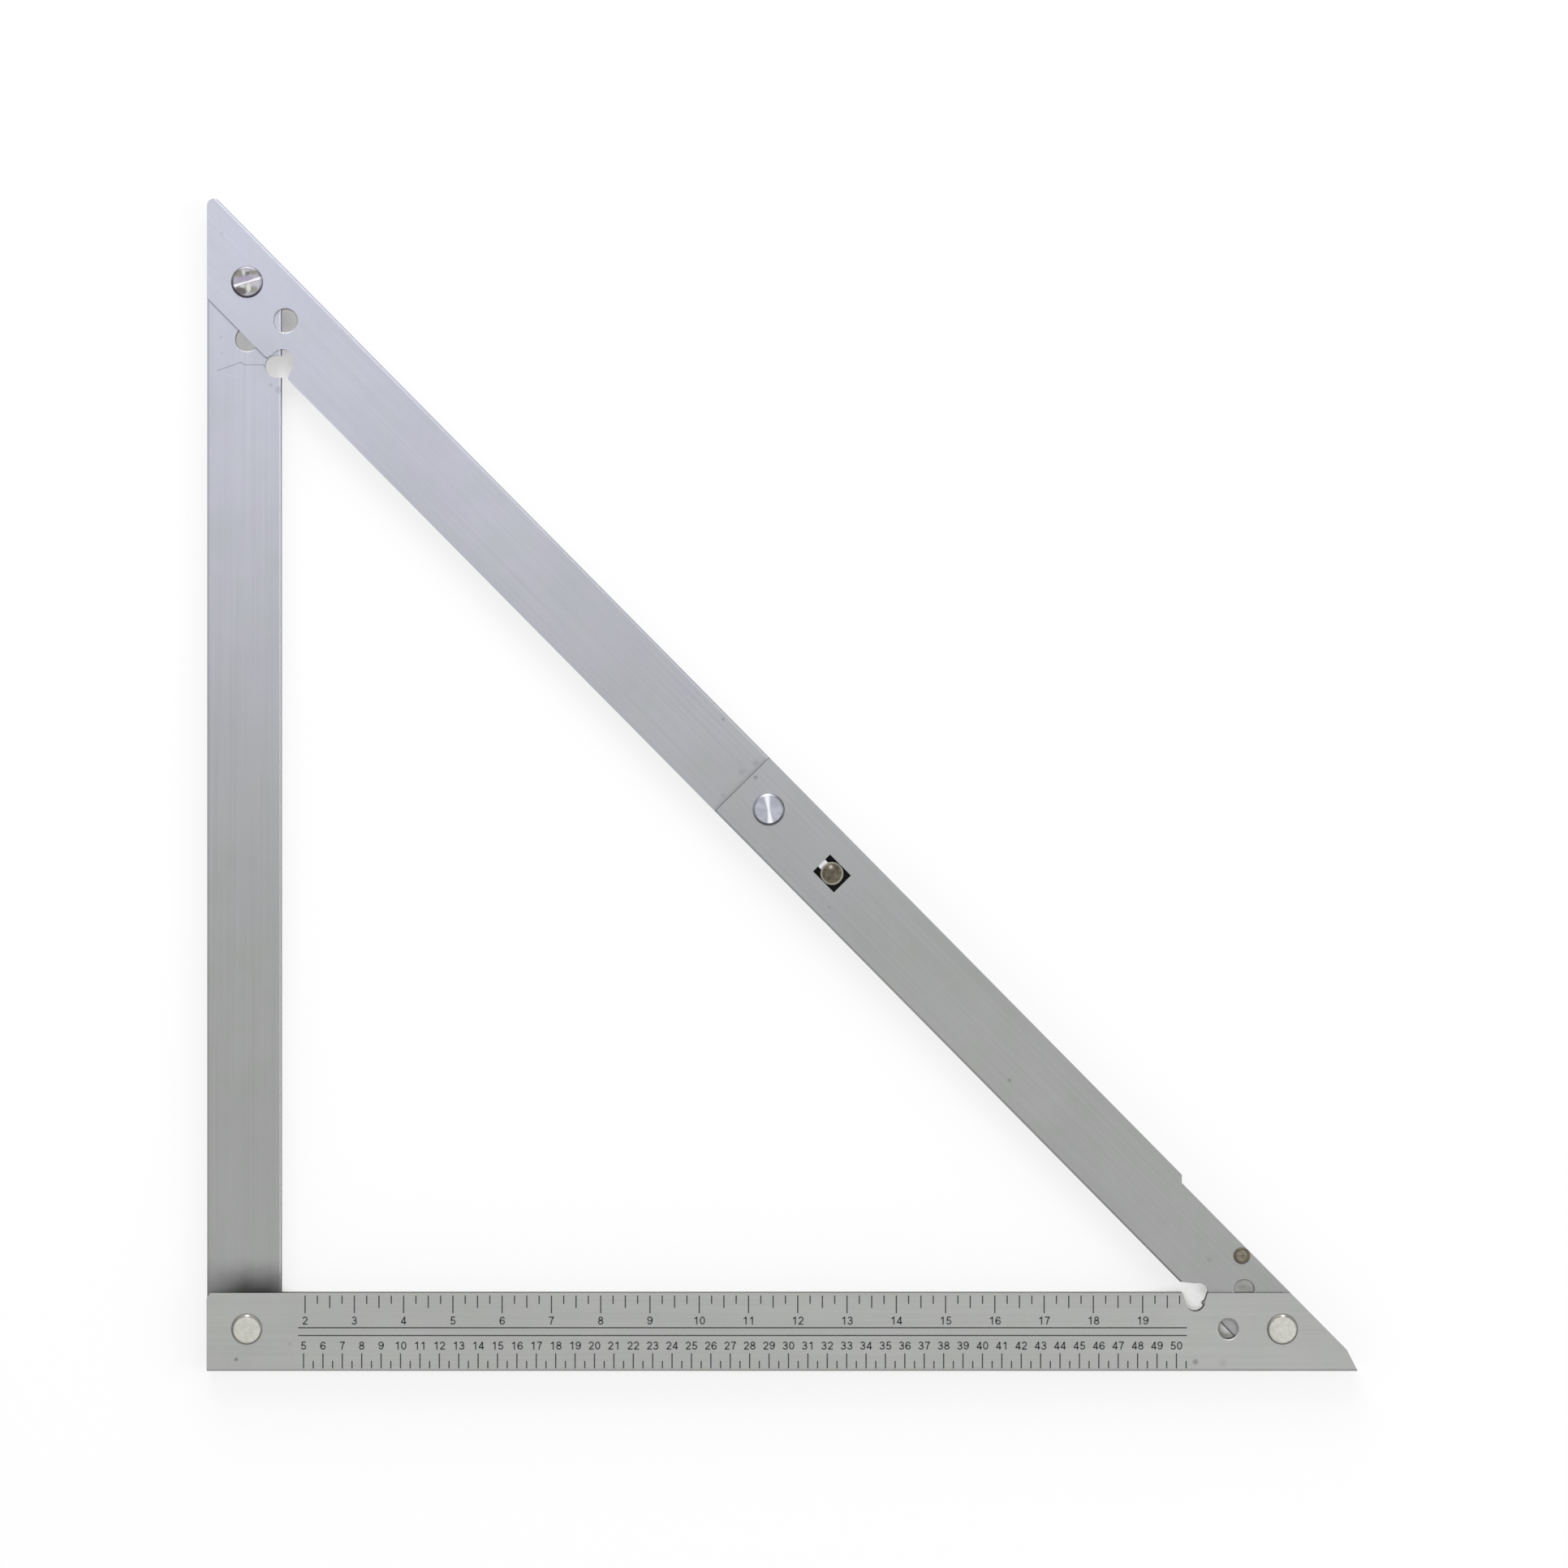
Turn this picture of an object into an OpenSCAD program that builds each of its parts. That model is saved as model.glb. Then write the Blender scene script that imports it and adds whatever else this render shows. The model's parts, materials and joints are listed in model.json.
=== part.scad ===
// Folding framing square: two legs, and a brace in two parts that keeps them square.
// All four bars are nested in one another, so the whole square folds flat into its base leg.
// X runs along the base leg, Y along the upright leg and Z through the thickness.
// The origin is the outer corner of the square, halfway through the thickness.

/* [Frame] */
// Distance from the corner pivot to the tip pivot
leg_span = 534; // [400:1:700]
// Distance from the corner pivot to the top pivot
upright_span = 540; // [400:1:700]
// Width of the base leg
leg_width = 40.3; // [39:0.1:44]
// Width of the upright leg
upright_width = 38.5; // [37:0.5:41]
// Width of both braces
brace_width = 39.5; // [38:0.5:42]
// Thickness of the upright leg, the innermost bar
upright_thickness = 8; // [6:0.5:12]

/* [Sheet] */
// Wall of every bar
sheet = 1; // [0.8:0.1:1.6]
// Outside radius of a bend
bend_radius = 1.4; // [0.8:0.1:2]
// Edge clearance between one bar and the bar that it folds into
nest_gap = 0.3; // [0.2:0.05:0.5]
// Clearance between a rivet head and the wall that slides over it
face_gap = 0.3; // [0.2:0.05:0.6]

/* [Bar ends] */
// How far the lower brace reaches past the middle pivot
lower_end_reach = 18.7; // [14:0.1:26]
// How far the upper brace reaches past the middle pivot, inside the lower brace
tongue_reach = 62; // [56:0.5:80]
// Corner radius of both of those ends
end_corner_radius = 1.7; // [0.5:0.1:4]
// Nose radius of the upper brace, at the top of the square
nose_radius = 3.5; // [1:0.5:6]
// Step cut off the outer edge of the lower brace near the tip
edge_trim = 3; // [1:0.5:5]
// Length of that step, measured from the tip pivot
edge_trim_length = 93; // [70:1:120]
// Height of the blunt end of the base leg's tip
blunt_height = 11; // [5:0.5:16]
// Lean of that blunt end
blunt_lean = 5.6; // [2:0.1:9]
// Width of the small cut on the base leg's inner corner
corner_cut_width = 1.9; // [0.5:0.1:4]
// Height of that cut
corner_cut_height = 2.9; // [0.5:0.1:6]

/* [Holes] */
// Size of the reliefs where a brace crosses a leg
relief_size = 5.6; // [4:0.1:7]
// Distance from each far pivot to the hanging hole beside it
hang_reach = 28; // [24:0.5:34]
// The same distance in the upright leg
upright_hang_reach = 29.5; // [24:0.5:34]
// Hanging hole in the base leg and the lower brace
hang_hole_outer = 10.5; // [6:0.5:14]
// Hanging hole in the upright leg and the upper brace
hang_hole_inner = 12; // [6:0.5:15]

/* [Pivots] */
// Head diameter of the rivets in the base leg
leg_head_diameter = 15.8; // [13:0.1:18]
// Head diameter of the rivets in the braces
brace_head_diameter = 16.4; // [13:0.1:18]
// Height of every rivet head
head_height = 1.2; // [0.8:0.1:2]
// Height of the chamfer round a head
head_chamfer = 0.7; // [0.2:0.05:0.8]
// Width of that chamfer
head_chamfer_width = 1; // [0.3:0.1:2]
// Shank diameter of every pivot
shank_diameter = 8; // [5:0.5:10]
// Radial running clearance of a shank in the bar that turns on it
run_gap = 0.05; // [0.02:0.01:0.09]
// Depth of the flared tail that is set flush with the inner wall
tail_depth = 0.7; // [0.3:0.05:0.8]
// Outside diameter of the washers between two walls
washer_diameter = 16; // [11:0.5:18]
// Outside diameter of the spacers at the corner
spacer_diameter = 18; // [12:0.5:24]
// Wall of the bushes in the upright leg
bush_wall = 1.5; // [0.8:0.1:2.5]

/* [Lock] */
// Distance from the middle pivot to the lock button
lock_reach = 46.4; // [42:0.1:49]
// Length of the window in the lower brace, along the brace
window_length = 15.3; // [13:0.1:18]
// Width of that window
window_width = 12.4; // [12:0.1:15]
// Diameter of the lock button
button_diameter = 11.8; // [8:0.1:11.9]
// Rise of the button's crown
button_crown = 0.35; // [0.1:0.05:0.6]
// Clearance above the pressed button
button_gap = 0.2; // [0.1:0.05:0.4]
// Thickness of the leaf spring
leaf_thickness = 0.4; // [0.2:0.05:0.6]
// Width of the leaf where it is riveted down
leaf_root_width = 12; // [8:0.5:16]
// Length of that riveted part
leaf_root_length = 8; // [6:0.5:10]
// Width of the leaf's neck
leaf_neck_width = 5; // [3:0.5:8]
// Diameter of the pad under the button
leaf_pad_diameter = 9; // [6:0.5:11]
// Shank diameter of the two rivets that hold the leaf
leaf_rivet_diameter = 2; // [1.5:0.1:3]
// Head diameter of those rivets
leaf_rivet_head = 3.6; // [3:0.1:5]
// Head height of those rivets
leaf_rivet_height = 0.5; // [0.3:0.05:0.6]

/* [Stud] */
// Diameter of the studs near the lower brace's lower end
stud_diameter = 8.4; // [6:0.1:10]
// Distance of the studs from the tip pivot, along the brace
stud_reach = 41.5; // [38:0.5:60]
// Distance from a stud's rim to the edge of the brace
stud_margin = 0.2; // [0.1:0.1:3]
// Shank diameter of a stud
stud_shank = 4; // [2:0.5:5]
// Radius of the rounding on a stud's rim
stud_round = 0.6; // [0.2:0.1:0.9]

/* [Hidden] */
$fn = 96;
// Overrun of every cutting shape past the surface that it cuts
over = 1;
// Slope of the braces against the base leg
brace_turn = atan2(upright_span, leg_span);

// Distance from the pivot line to each bar's edges: a bar lies one step inside the bar that it folds into
step = sheet + nest_gap;
brace_outer = (brace_width - step) / 2;
brace_inner = brace_outer + step;
upright_inner = brace_outer - step;
upright_outer = upright_width - upright_inner;
leg_below = brace_inner + step;
leg_above = leg_width - leg_below;
trimmed_outer = brace_outer - edge_trim;

// Heights above the middle plane, from the innermost bar outwards
upright_face = upright_thickness / 2;
upper_inside = upright_face + face_gap;
upper_face = upper_inside + sheet;
lower_inside = upper_face + head_height + face_gap;
lower_face = lower_inside + sheet;
leg_inside = lower_face + head_height + face_gap;
leg_face = leg_inside + sheet;

// Pivots, in the plane of the square
corner = [upright_outer, leg_below];
tip = [corner.x + leg_span, corner.y];
top = [corner.x, corner.y + upright_span];

// Directions along the braces, from the middle towards the tip, and across them, outwards
along = [cos(brace_turn), -sin(brace_turn)];
across = [sin(brace_turn), cos(brace_turn)];

// Spans of the two braces: to fold flat, they differ by as much as the legs' spans do
lower_span = (norm(tip - top) - upright_span + leg_span) / 2;
upper_span = norm(tip - top) - lower_span;
middle = tip - lower_span * along;

// Where a line along the braces, at some distance outside the pivot line, crosses a level or an upright line
function line_x(outwards, y) = tip.x + (outwards - (y - tip.y) * across.y) / across.x;
function line_y(outwards, x) = tip.y + (outwards - (x - tip.x) * across.x) / across.y;

// A point of the plane, given along and across the braces from the middle pivot
function along_brace(p) = [(p - middle) * along, (p - middle) * across];

// Corners inside the triangle, where the braces' inner edges cross the legs' inner edges
top_inner_corner = [upright_width, line_y(-brace_inner, upright_width)];
tip_inner_corner = [line_x(-brace_inner, leg_width), leg_width];

// Reliefs where the bars cross, as shares of their size: place of the round end along the bar's edge and into the
// bar, its radius, and the two ends of the mouth along the edge, all from the corner inside the triangle
base_relief_shares = [0.39, 0.82, 0.89, -0.79, 1.54];
upright_relief_shares = [0.63, 0.5, 1.04, -0.43, 1.61];
upper_relief_shares = [-0.71, 0.8, 1.14, -2, 0.75];
lower_relief_shares = [0.5, 0.48, 0.91, -1.43, 1.34];
// Distance of the mouth's straight sides from the centre of the round end, as a share of its radius
relief_side_share = 0.93;
// Rounding of their lips
relief_lip_share = 0.3;
relief_lip = relief_lip_share * relief_size;

// Round parts
shank_radius = shank_diameter / 2;
bore_radius = shank_radius + run_gap;
bush_radius = bore_radius + bush_wall;
washer_gap = run_gap * 2;
tip_end_radius = leg_below - step;
top_end_radius = upright_inner;
web_start_reach = tongue_reach + brace_width / 10;

// Lock: the pressed button clears the lower brace, and the released one is flush with it
button_top = lower_inside - button_gap;
leaf_low = upper_inside + button_gap / 2;
button_base = leaf_low + leaf_thickness + run_gap;
leaf_root_end = lock_reach - window_length - leaf_root_length;
leaf_bend_run = leaf_root_length;
lock_hollow_length = window_length + sheet;
lock_hollow_width = window_width + sheet;
leaf_rivet_spread = leaf_root_width / 2;

// Puts a shape drawn along the braces into the plane of the square
module on_brace() {
    translate(middle)
        rotate(-brace_turn)
            children();
}

// Cuts a square corner round: the corner is at the origin and the material lies towards +X and +Y
module corner_cutter(radius) {
    difference() {
        translate([-over, -over])
            square(radius + over);
        translate([radius, radius])
            circle(radius);
    }
}

// Rounds a plate's corner, whose edges leave it in the directions a and b
module plate_corner_cutter(place, a, b, radius) {
    inwards = (a + b) / norm(a + b);
    half_angle = acos(a * b) / 2;
    centre = place + radius / sin(half_angle) * inwards;
    feet = [for (edge = [a, b]) place + radius / tan(half_angle) * edge];
    difference() {
        polygon([
            place - over / sin(half_angle) * inwards,
            centre + (feet[0] - centre) * (1 + over / radius),
            centre,
            centre + (feet[1] - centre) * (1 + over / radius)
        ]);
        translate(centre)
            circle(radius);
    }
}

// Direction from a point past a centre at some distance, leaving it on the right for a side of 1 and on the left for -1
function passing(point, centre, distance, side) =
    let (sight = (centre - point) / norm(centre - point), turn = side * asin(distance / norm(centre - point)))
    [sight.x * cos(turn) - sight.y * sin(turn), sight.x * sin(turn) + sight.y * cos(turn)];

// Relief in a bar's edge: X runs along the edge and Y into the bar. Straight sides join the round end to the mouth,
// whose lips are sharp or rounded
module relief(shares, lip = 0) {
    centre = [shares[0], shares[1]] * relief_size;
    radius = shares[2] * relief_size;
    mouth = [[shares[3] * relief_size, 0], [shares[4] * relief_size, 0]];
    pass = relief_side_share * radius;
    sides = [for (end = [0, 1]) passing(mouth[end], centre, pass, 1 - 2 * end)];
    reach = [for (point = mouth) sqrt(norm(centre - point) ^ 2 - pass ^ 2)];
    translate([0, 0, -leg_face - over])
        linear_extrude(2 * (leg_face + over)) {
            translate(centre)
                circle(radius);
            polygon([
                mouth[0] - [0, over],
                mouth[0],
                mouth[0] + reach[0] * sides[0],
                centre,
                mouth[1] + reach[1] * sides[1],
                mouth[1],
                mouth[1] - [0, over]
            ]);
            if (lip > 0)
                for (end = [0, 1])
                    plate_corner_cutter(mouth[end], [2 * end - 1, 0], sides[end], lip);
        }
}

// Section of a bent channel: the web stands at web_edge, and the walls end at open_edge
module channel_section(open_edge, web_edge, inside, face) {
    side = sign(web_edge - open_edge);
    difference() {
        translate([min(open_edge, web_edge), -face])
            square([abs(web_edge - open_edge), 2 * face]);
        translate([side > 0 ? open_edge - over : web_edge + sheet, -inside])
            square([abs(web_edge - open_edge) - sheet + over, 2 * inside]);
        for (flip = [0, 1])
            mirror([0, flip])
                translate([web_edge, face])
                    rotate(side > 0 ? 180 : -90)
                        corner_cutter(bend_radius);
    }
}

// Channel along X, from start to end
module channel(start, end, open_edge, web_edge, inside, face) {
    translate([start, 0, 0])
        rotate([90, 0, 90])
            linear_extrude(end - start)
                channel_section(open_edge, web_edge, inside, face);
}

// Round cut through the whole thickness
module through_hole(place, radius) {
    translate([place.x, place.y, -leg_face - over])
        cylinder(h = 2 * (leg_face + over), r = radius);
}

// Outline of the base leg: the right end follows the brace's trimmed edge down to a blunt tip
module base_outline() {
    polygon([
        [0, 0],
        [line_x(trimmed_outer, blunt_height) + blunt_lean, 0],
        [line_x(trimmed_outer, blunt_height), blunt_height],
        [line_x(trimmed_outer, leg_width), leg_width],
        [corner_cut_width, leg_width],
        [0, leg_width - corner_cut_height]
    ]);
}

module base_leg() {
    color("lightsteelblue")
        difference() {
            intersection() {
                translate([0, 0, -leg_face - over])
                    linear_extrude(2 * (leg_face + over))
                        base_outline();
                channel(-over, line_x(trimmed_outer, 0) + over, leg_width, 0, leg_inside, leg_face);
            }
            through_hole(corner, shank_radius);
            through_hole(tip, shank_radius);
            through_hole(tip - [hang_reach, 0], hang_hole_outer / 2);
            translate(tip_inner_corner)
                mirror([0, 1])
                    relief(base_relief_shares);
        }
}

// Outline of the upright leg: both ends are rounded about their pivots, to turn inside the next bar
module upright_outline() {
    translate([0, corner.y])
        square([upright_width, upright_span]);
    intersection() {
        translate([0, corner.y - leg_width])
            square([upright_width, upright_span + 2 * leg_width]);
        union() {
            translate(corner)
                circle(tip_end_radius);
            translate(top)
                circle(top_end_radius);
        }
    }
}

// Section of the upright leg's tube, across X and Z
module tube_section() {
    difference() {
        translate([0, -upright_face])
            square([upright_width, upright_thickness]);
        translate([sheet, sheet - upright_face])
            square([upright_width - 2 * sheet, upright_thickness - 2 * sheet]);
        for (right = [0, 1], high = [0, 1])
            translate([right * upright_width, (2 * high - 1) * upright_face])
                rotate(90 * (2 * high + (high == right ? 0 : 1)))
                    corner_cutter(bend_radius);
    }
}

module upright_leg() {
    color("lightsteelblue")
        difference() {
            intersection() {
                translate([0, 0, -upright_face - over])
                    linear_extrude(upright_thickness + 2 * over)
                        upright_outline();
                translate([0, top.y + leg_width, 0])
                    rotate([90, 0, 0])
                        linear_extrude(upright_span + 2 * leg_width)
                            tube_section();
            }
            through_hole(corner, bush_radius);
            through_hole(top, bush_radius);
            through_hole(top - [0, upright_hang_reach], hang_hole_inner / 2);
            translate(top_inner_corner)
                rotate(90)
                    relief(upright_relief_shares);
        }
}

// Outline of the upper brace, along the braces: a pointed nose at the top and a tongue past the middle pivot
module upper_outline() {
    nose_point = along_brace([0, line_y(brace_outer, 0)]);
    difference() {
        polygon([
            along_brace([0, line_y(-brace_inner, 0)]),
            [tongue_reach, -brace_inner],
            [tongue_reach, brace_outer],
            nose_point
        ]);
        plate_corner_cutter(nose_point, [1, 0], [sin(brace_turn), -cos(brace_turn)], nose_radius);
        translate([tongue_reach, -brace_inner])
            rotate(90)
                corner_cutter(end_corner_radius);
        translate([tongue_reach, brace_outer])
            rotate(180)
                corner_cutter(end_corner_radius);
    }
}

// Hollow in the upper brace's front wall, for the button and the leaf that carries it
module lock_hollow() {
    translate([lock_reach - lock_hollow_length / 2, -lock_hollow_width / 2, upright_face])
        cube([lock_hollow_length, lock_hollow_width, upper_face]);
    translate([leaf_root_end, -(leaf_neck_width + sheet) / 2, upright_face])
        cube([lock_reach - leaf_root_end, leaf_neck_width + sheet, upper_face]);
}

module upper_brace() {
    nose_end = along_brace([0, line_y(brace_outer, 0)]).x;
    color("silver")
        on_brace()
            difference() {
                intersection() {
                    translate([0, 0, -upper_face - over])
                        linear_extrude(2 * (upper_face + over))
                            upper_outline();
                    channel(nose_end, tongue_reach + over, -brace_inner, brace_outer, upper_inside, upper_face);
                }
                through_hole([-upper_span, 0], shank_radius);
                through_hole([0, 0], bore_radius);
                flared_seat(upper_inside);
                through_hole([hang_reach - upper_span, 0], hang_hole_inner / 2);
                translate(along_brace(top_inner_corner))
                    relief(upper_relief_shares, relief_lip);
                lock_hollow();
                for (side = [-1, 1])
                    translate([leaf_root_end - leaf_root_length / 2, side * leaf_rivet_spread / 2, 0])
                        cylinder(h = upper_face + over, d = leaf_rivet_diameter);
            }
}

// Outline of the lower brace, along the braces: square at the middle, round about the tip pivot
module lower_outline() {
    trim_start = lower_span - edge_trim_length;
    difference() {
        polygon([
            [-lower_end_reach, -brace_inner],
            [lower_span, -brace_inner],
            [lower_span, trimmed_outer],
            [trim_start + edge_trim, trimmed_outer],
            [trim_start, brace_outer],
            [-lower_end_reach, brace_outer]
        ]);
        translate([-lower_end_reach, -brace_inner])
            corner_cutter(end_corner_radius);
        translate([-lower_end_reach, brace_outer])
            rotate(-90)
                corner_cutter(end_corner_radius);
    }
    intersection() {
        translate([lower_span, 0])
            circle(brace_inner);
        translate([lower_span, -brace_inner])
            square([brace_inner, brace_inner + trimmed_outer]);
    }
}

module lower_brace() {
    color("silver")
        on_brace()
            difference() {
                intersection() {
                    translate([0, 0, -lower_face - over])
                        linear_extrude(2 * (lower_face + over))
                            lower_outline();
                    channel(-lower_end_reach - over, lower_span + brace_width, brace_outer + over, -brace_inner,
                        lower_inside, lower_face);
                }
                // The web stops short of the middle, where the upper brace's tongue swings out
                translate([-lower_end_reach - over, -brace_inner - over, -lower_inside])
                    cube([lower_end_reach + over + web_start_reach, sheet + 2 * over, 2 * lower_inside]);
                // It also stops at the tip pivot, where the upper brace's nose passes
                translate([lower_span, -brace_inner - over, -lower_inside])
                    cube([brace_inner + over, sheet + 2 * over, 2 * lower_inside]);
                through_hole([0, 0], shank_radius);
                through_hole([lower_span, 0], bore_radius);
                translate([lower_span, 0])
                    flared_seat(lower_inside);
                through_hole([lower_span - hang_reach, 0], hang_hole_outer / 2);
                translate(along_brace(tip_inner_corner))
                    relief(lower_relief_shares);
                through_hole(stud_place, stud_shank / 2);
                translate([lock_reach - window_length / 2, -window_width / 2, upper_face])
                    cube([window_length, window_width, leg_face - upper_face]);
            }
}

// Countersunk seats in both walls of a bar, for flared tails that end at its inside
module flared_seat(inside) {
    for (flip = [0, 1])
        mirror([0, 0, flip])
            translate([0, 0, inside])
                cylinder(h = tail_depth, r1 = bore_radius + tail_depth, r2 = bore_radius);
}

// Half profile of a rivet head, from the wall's face up
function head_profile(face, radius) = [
    [radius, face],
    [radius, face + head_height - head_chamfer],
    [radius - head_chamfer_width, face + head_height]
];

// Stub rivet: a head on the outer face, a shank through two walls and a tail flush with the inner one
module stub_rivet(face, tail, head_radius, flare) {
    rotate_extrude()
        polygon(concat(
            [[0, tail], [shank_radius + flare, tail], [shank_radius, tail + flare], [shank_radius, face]],
            head_profile(face, head_radius),
            [[0, face + head_height]]
        ));
}

// Ring about the Z axis
module ring(low, high, inner_radius, outer_radius) {
    translate([0, 0, low])
        difference() {
            cylinder(h = high - low, r = outer_radius);
            translate([0, 0, -over])
                cylinder(h = high - low + 2 * over, r = inner_radius);
        }
}

// Puts a piece drawn for the front at a pivot, on the front or on the back
module at_pivot(place, back) {
    translate([place.x, place.y, 0])
        mirror([0, 0, back ? 1 : 0])
            children();
}

module corner_rivet(back) {
    color("gainsboro")
        at_pivot(corner, back)
            stub_rivet(leg_face, upper_inside, leg_head_diameter / 2, 0);
}

// The spacer keeps the thin upright leg central in the deep base leg
module corner_spacer(back) {
    color("dimgray")
        at_pivot(corner, back)
            ring(upper_inside, leg_inside, shank_radius, spacer_diameter / 2);
}

module corner_bush() {
    color("goldenrod")
        at_pivot(corner, false)
            ring(-upright_face, upright_face, bore_radius, bush_radius);
}

// The top rivet is the only one that passes through, because no other bar lies inside the upright leg
module top_rivet() {
    head_radius = brace_head_diameter / 2;
    color("gainsboro")
        at_pivot(top, false)
            rotate_extrude()
                polygon(concat(
                    [[0, -upper_face - head_height]],
                    [for (i = [2 : -1 : 0]) [head_profile(upper_face, head_radius)[i].x,
                        -head_profile(upper_face, head_radius)[i].y]],
                    [[shank_radius, -upper_face], [shank_radius, upper_face]],
                    head_profile(upper_face, head_radius),
                    [[0, upper_face + head_height]]
                ));
}

module top_bush() {
    color("goldenrod")
        at_pivot(top, false)
            ring(-upright_face, upright_face, bore_radius, bush_radius);
}

module middle_rivet(back) {
    color("gainsboro")
        at_pivot(middle, back)
            stub_rivet(lower_face, upper_inside, brace_head_diameter / 2, tail_depth);
}

module middle_washer(back) {
    color("dimgray")
        at_pivot(middle, back)
            ring(upper_face + washer_gap, lower_inside, shank_radius, washer_diameter / 2);
}

module tip_rivet(back) {
    color("gainsboro")
        at_pivot(tip, back)
            stub_rivet(leg_face, lower_inside, leg_head_diameter / 2, tail_depth);
}

module tip_washer(back) {
    color("dimgray")
        at_pivot(tip, back)
            ring(lower_face + washer_gap, leg_inside, shank_radius, washer_diameter / 2);
}

// Leaf spring, drawn pressed: flat where it is riveted, then bent down into the hollow under the button
module lock_spring() {
    root_start = leaf_root_end - leaf_root_length;
    bend_end = leaf_root_end + leaf_bend_run;
    color("slategray")
        on_brace()
            difference() {
                union() {
                    translate([root_start, -leaf_root_width / 2, upper_face])
                        cube([leaf_root_length, leaf_root_width, leaf_thickness]);
                    translate([0, leaf_neck_width / 2, 0])
                        rotate([90, 0, 0])
                            linear_extrude(leaf_neck_width)
                                polygon([
                                    [leaf_root_end - leaf_thickness, upper_face],
                                    [leaf_root_end, upper_face],
                                    [bend_end, leaf_low],
                                    [lock_reach, leaf_low],
                                    [lock_reach, leaf_low + leaf_thickness],
                                    [bend_end, leaf_low + leaf_thickness],
                                    [leaf_root_end, upper_face + leaf_thickness],
                                    [leaf_root_end - leaf_thickness, upper_face + leaf_thickness]
                                ]);
                    translate([lock_reach, 0, leaf_low])
                        cylinder(h = leaf_thickness, d = leaf_pad_diameter);
                }
                for (side = [-1, 1])
                    translate([root_start + leaf_root_length / 2, side * leaf_rivet_spread / 2, upper_inside])
                        cylinder(h = upper_face, d = leaf_rivet_diameter);
            }
}

// Two small rivets, flush with the inside of the upper brace
module lock_spring_rivets() {
    head_face = upper_face + leaf_thickness;
    color("gainsboro")
        on_brace()
            for (side = [-1, 1])
                translate([leaf_root_end - leaf_root_length / 2, side * leaf_rivet_spread / 2, 0]) {
                    translate([0, 0, upper_inside])
                        cylinder(h = head_face - upper_inside, d = leaf_rivet_diameter);
                    translate([0, 0, head_face])
                        cylinder(h = leaf_rivet_height, d1 = leaf_rivet_head, d2 = leaf_rivet_diameter);
                }
}

// Turned button with a low crown, drawn pressed
module lock_button() {
    radius = button_diameter / 2;
    crown_radius = (radius * radius + button_crown * button_crown) / (2 * button_crown);
    color("rosybrown")
        on_brace()
            translate([lock_reach, 0, 0])
                intersection() {
                    translate([0, 0, button_base])
                        cylinder(h = button_top - button_base, r = radius);
                    translate([0, 0, button_top - crown_radius])
                        sphere(crown_radius, $fn = 200);
                }
}

// Place of the studs, along and across the brace
stud_place = [lower_span - stud_reach, trimmed_outer - stud_margin - stud_diameter / 2];

// A round-edged stud on each face of the lower brace, flush inside
module brace_studs() {
    radius = stud_diameter / 2;
    color("rosybrown")
        on_brace()
            for (flip = [0, 1])
                mirror([0, 0, flip])
                    translate([stud_place.x, stud_place.y, 0])
                        rotate_extrude() {
                            translate([0, lower_inside])
                                square([stud_shank / 2, sheet]);
                            difference() {
                                translate([0, lower_face])
                                    square([radius, head_height]);
                                translate([radius, lower_face + head_height])
                                    rotate(180)
                                        corner_cutter(stud_round);
                            }
                        }
}

base_leg();
upright_leg();
upper_brace();
lower_brace();
corner_rivet(false);  // corner_rivet_front
corner_rivet(true);  // corner_rivet_back
corner_spacer(false);  // corner_spacer_front
corner_spacer(true);  // corner_spacer_back
corner_bush();
top_rivet();
top_bush();
middle_rivet(false);  // middle_rivet_front
middle_rivet(true);  // middle_rivet_back
middle_washer(false);  // middle_washer_front
middle_washer(true);  // middle_washer_back
tip_rivet(false);  // tip_rivet_front
tip_rivet(true);  // tip_rivet_back
tip_washer(false);  // tip_washer_front
tip_washer(true);  // tip_washer_back
lock_spring();
lock_spring_rivets();
lock_button();
brace_studs();
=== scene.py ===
"""Looks of the folding framing square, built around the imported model."""

import json
import math

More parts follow.
